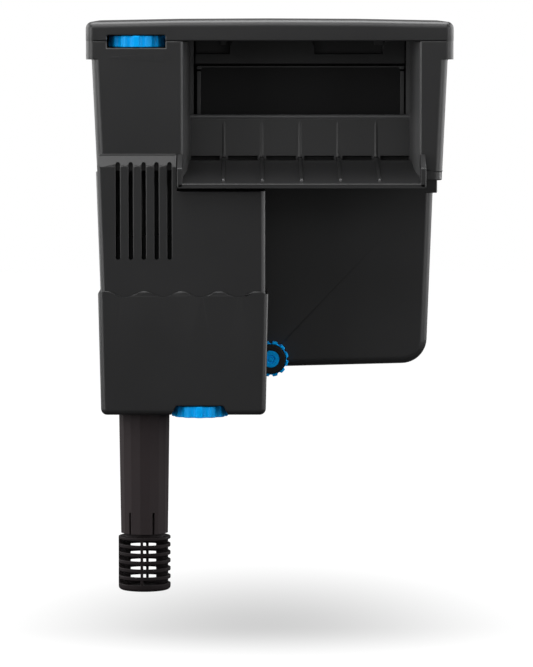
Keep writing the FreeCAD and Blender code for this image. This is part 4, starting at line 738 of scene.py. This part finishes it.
def tray_cheeks(tray, low):
    """The curved side walls of the spillway: in plan each runs nearly straight from behind the weir and sweeps out
    towards the front, as prisms between that curve and the flat wall outside it."""
    depths = np.linspace(21.8 * MM, -61.7 * MM, 40)
    inner = np.interp(depths, np.array(CHEEK_DEPTHS) * MM, np.array(CHEEK_HALVES) * MM)
    inner[1:-1] = (inner[:-2] + 2 * inner[1:-1] + inner[2:]) / 4
    outer = np.interp(depths, (COLUMN_FRONT, tray.gap_half), (tray.front_half + 0.7 * MM, tray.weir_half + 0.7 * MM))
    parts = []
    for side in (-1, 1):
        curve = np.stack([tray.centre + side * inner, depths], 1)
        back = np.stack([tray.centre + side * outer[[-1, 0]], depths[[-1, 0]]], 1)
        radii = np.zeros(len(curve) + 2)
        radii[len(curve) - 1] = 0.15 * MM
        line = rounded_line(np.concatenate([curve, back]), radii)
        parts.append(prism(line, low.z + 4 * MM, CHEEK_TOP, 0.3 * MM, "Z"))
    return joined(parts)


def slot_shade_strip(tray, high):
    """A dark strip of painted shade that closes the space behind the slots at the weir's foot, so that they read black.
    """
    front = high.y - tray.setback + tray.skin + 1.2 * MM
    back, foot, top = front + 1.5 * MM, tray.floor - 2 * MM, tray.floor + 6 * MM
    half = tray.weir_half - 1 * MM
    outline = [(front, foot), (back, foot), (back, top), (front, top)]
    return prism(outline, tray.centre - half, tray.centre + half, 0.2 * MM, "X")


def tray_ears(tray, low, high):
    """The upright plates at both ends of the lip, as rounded prisms."""
    back = COLUMN_FRONT - 0.3 * MM
    corners = [(back, tray.ear_rise), (low.y, tray.ear_rise - 10.1 * MM), (low.y, low.z), (back, low.z + tray.lip)]
    outline = rounded_line(corners, np.array([0.9, 1.2, 0.9, 0.9]) * MM)
    return joined([prism(outline, x, x + tray.ear, 0.5 * MM, "X") for x in (low.x, high.x - tray.ear)])


class FILTER_OT_details(bpy.types.Operator):
    """Make the small raised details: basket rails, lid clips, the shoulder's line and the marks of the flow wheel. The
    first three are pale, which is painted light.
    """

    bl_idname = "aquarium_filter.details"
    bl_label = "Small Details"

    def execute(self, context):
        black = bpy.data.materials["Black moulding"]
        # These three pieces are pale as painted light; the shoulder's line is a painted highlight.
        pale = moulded("Strip painted light", settings().plastic.strips, 0.4)
        add_piece("basket_rails", basket_rails(), "basket", "basket_plastic", pale)
        add_piece("lid_clips", lid_clips(), "lid", "black_plastic", pale)
        add_piece("shoulder_highlight_line", shoulder_highlight_line(), "filter_body", "black_plastic", pale, smooth=60)
        add_piece("flow_marks", flow_marks(), "filter_body", "black_plastic", black)
        return {"FINISHED"}


def block(x, y, z, edge):
    """A box between three pairs of limits, with its upright outline's rims rounded."""
    outline = [(x[0], z[0]), (x[1], z[0]), (x[1], z[1]), (x[0], z[1])]
    return prism(rounded_line(outline, edge, steps=3), y[0], y[1], edge * 0.6, "Y")


def basket_rails():
    """Two upright strips at the basket's front corners, a small boss on top of each and a thin line between them."""
    detail = settings().detail
    low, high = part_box("media_basket")
    face = low.y - 0.3 * MM
    parts = []
    for side, corner in ((1, low.x), (-1, high.x)):
        start = corner + side * 0.15 * MM
        rail = np.sort([start, start + side * detail.rail])
        boss = np.sort([start - side * 0.1 * MM, start + side * detail.rail * 1.2])
        parts.append(block(rail, (face, face + 1.6 * MM), (detail.rail_foot, high.z - 4 * MM), 0.5 * MM))
        parts.append(block(boss, (face, face + 2.2 * MM), (high.z - 2.8 * MM, high.z - 0.1 * MM), 0.7 * MM))
    line = (high.z - 1.3 * MM, high.z - 0.3 * MM)
    parts.append(block((low.x + 3 * MM, high.x - 3 * MM), (face - 0.05 * MM, face + 1 * MM), line, 0.3 * MM))
    return joined(parts)


def lid_clips():
    """Two small clips at the top of the cut-outs in the lid's band, in front of the screen."""
    detail = settings().detail
    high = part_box("lid")[1]
    deep = (detail.clip_front, detail.clip_front + 2.2 * MM)
    tall = (high.z - 19.6 * MM, high.z - 15.2 * MM)
    ends = np.array([[-36.2, -31.2], [78.8, 85.6]]) * MM
    return joined([block(wide, deep, tall, 0.5 * MM) for wide in ends])


def shoulder_highlight_line():
    """A thin half-round line where the column's front meets its sloping shoulder. It is pale, a painted highlight along
    that edge.
    """
    wide, tall = np.array([[-124.6, -68.8], [11.7, 12.7]]) * MM
    deep = (COLUMN_FRONT - 0.9 * MM, COLUMN_FRONT - 0.1 * MM)
    return block(wide, deep, tall, 0.45 * MM)


def flow_marks():
    """Five thin plates under the flow wheel. Each is a trapezoid, and a wedge that opens to the right holds them."""
    detail = settings().detail
    parts = []
    for i in range(detail.marks):
        ends = detail.mark_start + i * detail.mark_pitch + np.array([0, detail.mark_wide])
        half = detail.mark_thin + (ends - detail.mark_start) * detail.mark_slope
        outline = [
            (ends[0], detail.mark_rise - half[0]), (ends[1], detail.mark_rise - half[1]),
            (ends[1], detail.mark_rise + half[1]), (ends[0], detail.mark_rise + half[0]),
        ]
        parts.append(prism(outline, COLUMN_FRONT - detail.mark_proud, COLUMN_FRONT + 0.2 * MM, 0.08 * MM, "Y"))
    return joined(parts)


class FILTER_OT_wheels(bpy.types.Operator):
    """Make the two blue thumb wheels"""

    bl_idname = "aquarium_filter.wheels"
    bl_label = "Thumb Wheels"

    def execute(self, context):
        plastic = settings().plastic
        blue = moulded("Blue moulding", plastic.blue, 0.33, specular=0.1, depth=0.003 * MM, tone=0.06)
        low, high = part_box("flow_dial")
        shape = thumb_wheel(low, high, high.z - low.z)
        add_piece("flow_wheel", shape, "flow_valve", "blue_plastic", blue, ("flow_dial",), smooth=40)
        low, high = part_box("intake_dial")
        shape = thumb_wheel(low, high, 8.2 * MM, spindle=3 * MM)
        add_piece("balance_wheel", shape, "intake_valve", "blue_plastic", blue, ("intake_dial",), smooth=40)
        return {"FINISHED"}


def thumb_wheel(low, high, tall, spindle=0.0):
    """A grooved disc turned about Z. Its radius at a row is the lesser of the row's own and the grooved outline less
    the edge's quarter arc. A spindle goes on above it where one is asked for."""
    wheel = settings().wheel
    radius = (high.x - low.x) / 2
    middle = ((low.x + high.x) / 2, low.y + radius)
    angles = np.linspace(0, TURN, wheel.teeth * 32 + 1)[:-1]
    rim = grooved(angles, radius, wheel.teeth, wheel.groove, wheel.out)
    inset, rise = rim_arc(wheel.edge, 5)
    foot, top = low.z, low.z + tall
    dish = np.array([0.02, 0.55, 0.6, 0.84, 0.88]) * radius
    drop = np.array([1, 1, 1, 1, 0]) * wheel.dish
    faces = np.minimum(dish[:, None], rim - wheel.edge)
    sides = rim - np.concatenate([inset, inset[::-1]])[:, None]
    rows = [faces, sides, faces[::-1]]
    levels = [foot + drop * 0.6, foot + rise, top - rise[::-1], top - drop[::-1]]
    if spindle:
        shaft = np.full((2, len(angles)), spindle)
        rows = [faces, sides, faces[:1:-1], shaft, shaft[:1] * 0.05]
        shaft_levels = [top - wheel.dish, high.z, high.z]
        levels = [foot + drop * 0.6, foot + rise, top - rise[::-1], top - drop[:1:-1], shaft_levels]
    radii, along = np.concatenate(rows), np.concatenate(levels)
    points, faces = turned(radii, along[:, None], angles, middle)
    foot_cap, top_cap = caps(len(along), len(angles))
    return points, [*faces, foot_cap[:, ::-1], top_cap]


class FILTER_OT_knob(bpy.types.Operator):
    """Make the leveller's knob, its rubber ring and its blue centre"""

    bl_idname = "aquarium_filter.knob"
    bl_label = "Leveller Knob"

    def execute(self, context):
        blue, rubber = bpy.data.materials["Blue moulding"], bpy.data.materials["Black rubber"]
        low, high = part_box("leveler_knob")
        middle = ((low.x + high.x) / 2, (low.z + high.z) / 2)
        shape = knob_rim(settings().knob, low, high, middle)
        add_piece("knob_rim", shape, "level_knob", "blue_plastic", blue, ("leveler_knob",), smooth=40)
        low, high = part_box("leveler_pad")
        inner, outer = 6.5 * MM, 10.9 * MM
        corners = [(inner, high.y), (inner, low.y), (outer, low.y), (outer, high.y)]
        shape = ring(rounded_line(corners, np.array([0, 0.5, 0.8, 0]) * MM), middle, "Y")
        add_piece("knob_ring", shape, "level_pad", "black_rubber", rubber, ("leveler_pad",), smooth=40)
        low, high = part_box("leveler_cap")
        front = [(0.1, 0.3), (1.9, 0.3), (2.1, 1.0), (3.0, 1.0), (3.2, 0.1), (6.4, 0.1), (6.4, 3.0), (2.0, 3.0)]
        corners = np.concatenate([np.array(front) * MM + [0, low.y], [(2.0 * MM, high.y), (0.1 * MM, high.y)]])
        radii = np.array([0, 0.1, 0.1, 0.1, 0.2, 0.6, 0, 0, 0.3, 0]) * MM
        shape = ring(rounded_line(corners, radii), middle, "Y")
        add_piece("knob_centre", shape, "level_pad", "blue_plastic", blue, ("leveler_cap",), smooth=40)
        return {"FINISHED"}


def knob_rim(knob, low, high, middle):
    """A grooved rim turned about Y: from the screw's hole over the seat of the ring and up the well's wall, round the
    grooved outside and back over the rear face to the hole."""
    angles = np.linspace(0, TURN, knob.teeth * 24 + 1)[:-1]
    rim = grooved(angles, knob.radius, knob.teeth, knob.groove, knob.out)
    inset, rise = rim_arc(knob.edge, 5)
    seat, well, rear = low.y + 3.3 * MM, knob.well, high.y - 0.6 * MM
    sides = np.minimum(rim - np.concatenate([inset, inset[::-1]])[:, None], knob.radius)
    round_ = np.ones(len(angles))
    radii = np.concatenate([
        np.outer([knob.hub, well - 0.2 * MM, well, well + 0.1 * MM, well + 0.4 * MM], round_),
        np.maximum(sides, well + 0.4 * MM),
        np.outer([9.0 * MM, 8.6 * MM, knob.hub], round_),
    ])
    levels = np.concatenate([
        [seat, seat, seat - 0.2 * MM, low.y + 0.4 * MM, low.y], low.y + rise, high.y - rise[::-1], [high.y, rear, rear],
    ])
    points, faces = turned(radii, levels[:, None], angles, middle, "Y")
    around = np.arange(len(angles))
    hole = np.stack([around, (around + 1) % len(angles)], 1)
    inside = np.concatenate([hole[:, ::-1], hole + (len(levels) - 1) * len(angles)], 1)
    return points, [*faces, inside]


def ring(line, middle, axis, sides=72):
    """A closed line of (radius, along) turned about an axis."""
    angles = np.linspace(0, TURN, sides + 1)[:-1]
    line = np.concatenate([line, line[:1]])
    return turned(line[:, :1], line[:, 1:], angles, middle, axis)


class FILTER_OT_tube(bpy.types.Operator):
    """Make the faceted intake tube and its strainer"""

    bl_idname = "aquarium_filter.tube"
    bl_label = "Intake Tube"

    def execute(self, context):
        plastic = settings().plastic
        place = ("suction_tube", "tube_plastic")
        mould = moulded("Tube moulding", plastic.tube, 0.45, specular=0.06, tone=0.2)
        skin = intake_tube()
        add_piece("intake_tube_skin", skin, *place, mould, ("intake_tube",), smooth=12, edge=0.3 * MM, sharp=60)
        mould = moulded("Strainer moulding", [c * 0.5 for c in plastic.tube], 0.45, specular=0.06, tone=0.2)
        add_piece("strainer_cage", strainer_cage(), *place, mould, ("strainer",), smooth=40, edge=0.35 * MM)
        return {"FINISHED"}


def intake_tube():
    """Radius by angle and height: flats between ridges, whose width falls evenly to the foot. The bore is round, and
    the cells of the slits at the foot are left open."""
    tube = settings().tube
    low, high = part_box("intake_tube")
    middle = ((low.x + high.x) / 2, (low.y + high.y) / 2)
    ridges = tube.turn - math.pi / 2 + TURN * np.arange(tube.facets) / tube.facets
    slits = tube.slit_turn - math.pi / 2 + TURN * np.arange(tube.slits) / tube.slits
    spread = tube.slit_wide / 2 / (17.5 * MM)
    angles = np.sort(np.concatenate([ridges, slits - spread, slits + spread]) % TURN)
    levels = np.array([high.z, low.z + tube.slit_tall, low.z])
    widths = np.interp(levels, [low.z, high.z], [17.3 * MM, 18.6 * MM])
    pitch = TURN / tube.facets
    off = (angles - ridges[0]) % pitch - pitch / 2
    radius = widths[:, None] / np.cos(off)
    sizes = (radius, np.full((3, 1), tube.bore))
    outer, bore = (rings_about(size, levels[:, None], angles, middle) for size in sizes)
    solid = np.ones((2, len(angles)), bool)
    middles = (angles + ((np.roll(angles, -1) - angles) % TURN) / 2) % TURN
    apart = np.abs((middles[:, None] - slits + math.pi) % TURN - math.pi).min(1)
    solid[1] = apart > spread * 0.98
    return pierced_wall(outer, bore, solid, around=True)


# The openings of a row of slots, in degrees about the tube's axis; -90 is the front.
STRAINER_WINDOWS = ((-92, 25), (62, 82), (88, 128), (185, 262))


def strainer_cage():
    """A cup turned about Z with rows of slots: cells in the windows between its bars are left open, the foot is
    rounded and closed, and a neck goes up into the tube."""
    tube = settings().tube
    low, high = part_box("strainer")
    middle, radius = ((low.x + high.x) / 2, (low.y + high.y) / 2), (high.x - low.x) / 2
    top = low.z + tube.strainer
    windows = np.radians(STRAINER_WINDOWS)
    borders = np.sort(windows.ravel() % TURN)
    around = np.append(borders, borders[0] + TURN)
    counts = np.ceil(np.diff(around) / math.radians(8)).astype(int)
    angles = np.concatenate([np.linspace(a, b, n + 1)[:-1] for a, b, n in zip(around, around[1:], counts)])
    feet = top - tube.lead - tube.pitch * np.arange(tube.rows)
    slots = np.stack([feet + tube.slot, feet], 1).ravel()
    rise, inset = rim_arc(2.5 * MM, 6)
    radii = np.concatenate([[radius] * (1 + len(slots)), radius - inset, [radius * 0.4, 0.1 * MM]])
    levels = np.concatenate([[top], slots, low.z + rise, [low.z, low.z]])
    inner_radii = np.maximum(radii - tube.wall, 0.1 * MM)
    inner_levels = np.maximum(levels, low.z + tube.wall)
    outside = rings_about(radii[:, None], levels[:, None], angles, middle)
    inside = rings_about(inner_radii[:, None], inner_levels[:, None], angles, middle)
    solid = np.ones((len(levels) - 1, len(angles)), bool)
    middles = (angles + np.append(angles[1:], angles[0] + TURN)) / 2
    past = (middles[:, None] - windows[:, 0]) % TURN
    rows = 1 + 2 * np.arange(tube.rows)
    solid[rows] = (past > windows[:, 1] - windows[:, 0]).all(1)
    cage = pierced_wall(outside, inside, solid, around=True)
    wide, outer, inner, foot = radius - tube.wall, tube.bore - 0.1 * MM, tube.bore - tube.wall, top - 1.8 * MM
    neck = [(wide, top), (outer, top), (outer, high.z), (inner, high.z), (inner, foot), (wide, foot)]
    return joined([cage, ring(np.array(neck), middle, "Z", len(angles))])


class FILTER_OT_media(bpy.types.Operator):
    """Make the foam block and the bag of media in the basket"""

    bl_idname = "aquarium_filter.media"
    bl_label = "Filter Media"

    def execute(self, context):
        shape = cushion("foam_block", 0.8 * MM, 5 * MM, 0.0)
        foam = add_piece("foam_pad", shape, "basket", "filter_foam", foam_material(), ("foam_block",), smooth=180)
        shape = cushion("media_bag", 3.0 * MM, 16 * MM, settings().soft.lumps)
        bag = add_piece("media_pouch", shape, "basket", "media_mesh", pouch_material(), ("media_bag",), smooth=180)
        return {"FINISHED"}


def cushion(node, pull, round_, lumps):
    """A soft block in its node's box: a cube's six faces as grids pushed out to a rounded box. Its sides pull in
    between the corners by a share of a cosine, and sines of two pitches make lumps."""
    low, high = (np.array(v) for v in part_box(node))
    low, high = low + 0.2 * MM, high - 0.2 * MM
    middle, half = (low + high) / 2, (high - low) / 2
    count = 61
    line = np.sin(np.linspace(-1, 1, count) * math.pi / 2)
    u, v = np.meshgrid(line, line, indexing="ij")
    one = np.ones_like(u)
    sides = [(one, u, v), (-one, v, u), (v, one, u), (u, -one, v), (u, v, one), (v, u, -one)]
    parts = []
    for side in sides:
        cube = np.stack(side, -1).reshape(-1, 3)
        core = np.clip(cube * half, -(half - round_), half - round_)
        away = cube * half - core
        away /= np.maximum(np.linalg.norm(away, axis=1, keepdims=True), 1e-9)
        spots = core + away * round_
        bulge = np.cos(cube * math.pi / 2)
        inward = pull * (1 - np.clip(bulge.max(1), 0, 1)) * (np.abs(cube).min(1) < 0.98)
        wave = np.sin(spots * TURN / (13 * MM)).prod(1)
        wave = wave + 0.6 * np.sin(spots[:, ::-1] * TURN / (7.3 * MM) + 1).sum(1) / 3
        spots = spots - away * (inward + lumps * (0.55 + 0.45 * wave))[:, None]
        parts.append((middle + spots, [grid_faces(count, count)]))
    return joined(parts)


def foam_material():
    """Open foam: cells of dark colour with deep pores between their walls."""
    material, node, shader, where = new_material("Filter foam")
    cells = node("TexVoronoi", feature="DISTANCE_TO_EDGE", Vector=where, Scale=1 / settings().soft.pores)
    walls = node("MapRange", Value=cells.outputs["Distance"], From_Max=0.35, To_Min=1.0, To_Max=0.0).outputs["Result"]
    dark, pale = (0.004, 0.004, 0.0045, 1), (0.045, 0.045, 0.05, 1)
    dress(node, shader, walls, 1.0, 0.5 * MM, walls, dark, pale, Roughness=0.9, Sheen_Weight=0.2)
    return material


def pouch_material():
    """Fine white net over pale grains: two crossed waves are the threads, cells beneath are the grains."""
    material, node, shader, where = new_material("Media net")
    pitch = 1 / settings().soft.mesh / 3
    waves = [node("TexWave", Vector=where, Scale=pitch, bands_direction=way, Distortion=0.6) for way in "XZ"]
    threads = node("Math", *[wave.outputs["Fac"] for wave in waves], operation="MAXIMUM")
    net = node("MapRange", Value=threads.outputs[0], From_Min=0.6, From_Max=0.85).outputs["Result"]
    grains = node("TexVoronoi", Vector=where, Scale=1 / (5 * MM))
    grain = node(
        "Mix", data_type="RGBA", Factor=grains.outputs["Distance"], A=(0.52, 0.42, 0.32, 1), B=(0.20, 0.15, 0.11, 1)
    )
    dress(node, shader, net, 0.8, 0.3 * MM, net, grain.outputs["Result"], (0.72, 0.71, 0.67, 1), Roughness=0.75)
    return material


class FILTER_OT_works(bpy.types.Operator):
    """Give the pump, valve and seals their finishes"""

    bl_idname = "aquarium_filter.works"
    bl_label = "Pump and Valve"

    def execute(self, context):
        made = bpy.data.materials
        finishes = (
            (made["Black moulding"], "housing_back volute_cover intake_manifold riser_pipe valve_cap flow_gate"),
            (made["Black moulding"], "flow_shaft intake_shutter leveler_screw"),
            (made["Blue moulding"], "alert_button"),
            (made["Black rubber"], "cable_gland pump_feet tube_seal shaft_bushes"),
            (moulded("Potted resin", (0.02, 0.02, 0.023), 0.3, tone=0.2), "motor_case motor_cap"),
            (moulded("White moulding", (0.68, 0.67, 0.63), 0.4, 0.4, depth=0.004 * MM, tone=0.05), "impeller"),
            (moulded("Bonded ferrite", (0.05, 0.05, 0.052), 0.5, grain=0.12 * MM, tone=0.25), "rotor_magnet"),
            (moulded("Ceramic", (0.78, 0.76, 0.7), 0.22, depth=0.001 * MM, tone=0.03), "impeller_shaft"),
            (metal("Laminations", (0.42, 0.42, 0.43), 0.38, "Y", 320), "stator_core"),
            (metal("Copper winding", (0.72, 0.33, 0.14), 0.3, "Z", 420), "stator_coil"),
            (metal("Screw steel", (0.6, 0.6, 0.61), 0.28, "Z", 500, stretch=3.0), "motor_screws"),
            # Painted shade: the float is near-black, far darker than the shells' black, so that the slots in front of
            # it read black.
            (moulded("Float", (0.002, 0.002, 0.0022), 0.6, specular=0.1, tone=0.2), "skimmer_float"),
        )
        for material, nodes in finishes:
            for node in nodes.split():
                for place in frame["nodes"][node].material_slots:
                    place.material = material
        return {"FINISHED"}


class FILTER_OT_stage(bpy.types.Operator):
    """Make the pale floor, the soft lights and the camera"""

    bl_idname = "aquarium_filter.stage"
    bl_label = "Stage"

    def execute(self, context):
        stage = settings().stage
        scene = context.scene
        make_floor(cad_low.z - stage.floor_gap)
        make_world(stage.world)
        add_lamp("Top lamp", (-0.05, 0.2, 1.5), (0.0, 0.05, 0.0), 1.6, 1.2, stage.top_light)
        add_lamp("Fill lamp", (-0.3, -1.3, 1.5), (0.0, 0.0, 0.0), 1.4, 1.0, stage.fill_light)
        add_lamp("Low fill lamp", (-0.2, -1.5, 0.52), (0.0, 0.0, 0.05), 1.6, 0.45, stage.low_light)
        for side, power in ((-1, stage.left_light), (1, stage.right_light)):
            add_lamp("Rim lamp", (side * 1.3, 0.35, 0.42), (0.0, 0.1, 0.2), 1.7, 1.3, stage.rim_light)
            add_lamp("Side lamp", (side * 1.3, -1.2, 0.05), (0.0, 0.0, 0.0), 0.9, 1.2, power)
        camera = linked("Camera", bpy.data.cameras.new("Camera"))
        camera.data.lens = stage.lens
        camera.data.sensor_width = 36.0
        camera.location = (stage.camera_aside, -stage.distance, stage.camera_rise)
        camera.rotation_euler = (math.pi / 2 - stage.camera_tilt, 0, stage.camera_turn)
        camera.data.clip_end = 50.0
        scene.camera = camera
        scene.view_settings.view_transform = "Standard"
        return {"FINISHED"}


def make_floor(level):
    """A square floor. Rays from the camera see it glow: less in an oval under the filter that reaches further behind
    it, plain white away from it. The oval stands in for a soft shadow and stays where it is at every pose."""
    stage = settings().stage
    half = 4.0
    spots = [(-half, -half, level), (half, -half, level), (half, half, level), (-half, half, level)]
    mesh = bpy.data.meshes.new("Floor")
    mesh.from_pydata(spots, [], [(0, 1, 2, 3)])
    linked("Floor", mesh)
    material, node, shader, where = new_material("Pale floor")
    parts = node("SeparateXYZ", where)
    sides = [
        node("Math", parts.outputs["Y"], share, operation="MULTIPLY").outputs[0]
        for share in (stage.shade_front, stage.shade_behind)
    ]
    deep = node("Math", *sides, operation="MINIMUM")
    spot = node("CombineXYZ", X=parts.outputs["X"], Y=deep.outputs[0])
    apart = node("VectorMath", spot.outputs[0], (-0.005, 0.0, 0.0), operation="DISTANCE")
    fade = node(
        "MapRange", interpolation_type="SMOOTHSTEP", Value=apart.outputs["Value"], From_Max=stage.shade_wide,
        To_Min=stage.shade, To_Max=1.0,
    )
    camera_ray = node("LightPath").outputs["Is Camera Ray"]
    glow = node("Math", fade.outputs["Result"], camera_ray, operation="MULTIPLY")
    fill(
        shader, Base_Color=(*[stage.floor_tone] * 3, 1), Roughness=0.9, Specular_IOR_Level=0.0,
        Emission_Strength=glow.outputs[0], Emission_Color=(1, 1, 1, 1),
    )
    mesh.materials.append(material)


def make_world(strength):
    """A world that the camera sees as white, and that lights surfaces with less."""
    world = bpy.data.worlds.new("Studio")
    world.use_nodes = True
    node = node_maker(world.node_tree)
    amount = node("MapRange", Value=node("LightPath").outputs["Is Camera Ray"], To_Min=strength, To_Max=1.0)
    back = node("Background", Color=(1, 1, 1, 1), Strength=amount.outputs["Result"])
    node("OutputWorld", Surface=back.outputs["Background"])
    bpy.context.scene.world = world


def add_lamp(name, spot, aim, wide, tall, power):
    """A rectangular soft lamp at a spot, turned to an aim."""
    data = bpy.data.lights.new(name, "AREA")
    data.shape = "RECTANGLE"
    data.size, data.size_y = wide, tall
    data.energy = power
    lamp = linked(name, data)
    lamp.location = spot
    lamp.rotation_euler = (Vector(aim) - Vector(spot)).to_track_quat("-Z", "Y").to_euler()


class FILTER_PT_panel(bpy.types.Panel):
    """The filter's sizes and the operators that make its pieces"""

    bl_idname = "FILTER_PT_panel"
    bl_label = "Aquarium Filter"
    bl_space_type = "VIEW_3D"
    bl_region_type = "UI"
    bl_category = "Filter"

    def draw(self, context):
        layout = self.layout
        for group in ("plastic", "shell", "wheel", "knob", "tube", "tray", "detail", "soft", "stage"):
            box = layout.box()
            values = getattr(context.scene.aquarium_filter, group)
            for name in values.__annotations__:
                box.prop(values, name)
        for step in STEPS:
            layout.operator(step.bl_idname)


GROUPS = (
    PlasticSettings, ShellSettings, WheelSettings, KnobSettings, TubeSettings, TraySettings, DetailSettings,
    SoftSettings, StageSettings, FilterSettings,
)
STEPS = (
    FILTER_OT_shells, FILTER_OT_tray, FILTER_OT_details, FILTER_OT_wheels, FILTER_OT_knob, FILTER_OT_tube,
    FILTER_OT_media, FILTER_OT_works, FILTER_OT_stage,
)


def register():
    """Registers the settings, the operators and the panel."""
    for kind in (*GROUPS, *STEPS, FILTER_PT_panel):
        bpy.utils.register_class(kind)
    bpy.types.Scene.aquarium_filter = PointerProperty(type=FilterSettings)


def unregister():
    """Takes them out again."""
    del bpy.types.Scene.aquarium_filter
    for kind in reversed((*GROUPS, *STEPS, FILTER_PT_panel)):
        bpy.utils.unregister_class(kind)


def main():
    register()
    steps = bpy.ops.aquarium_filter
    steps.shells()
    steps.tray()
    steps.details()
    steps.wheels()
    steps.knob()
    steps.tube()
    steps.media()
    steps.works()
    steps.stage()


if __name__ == "__main__":
    main()
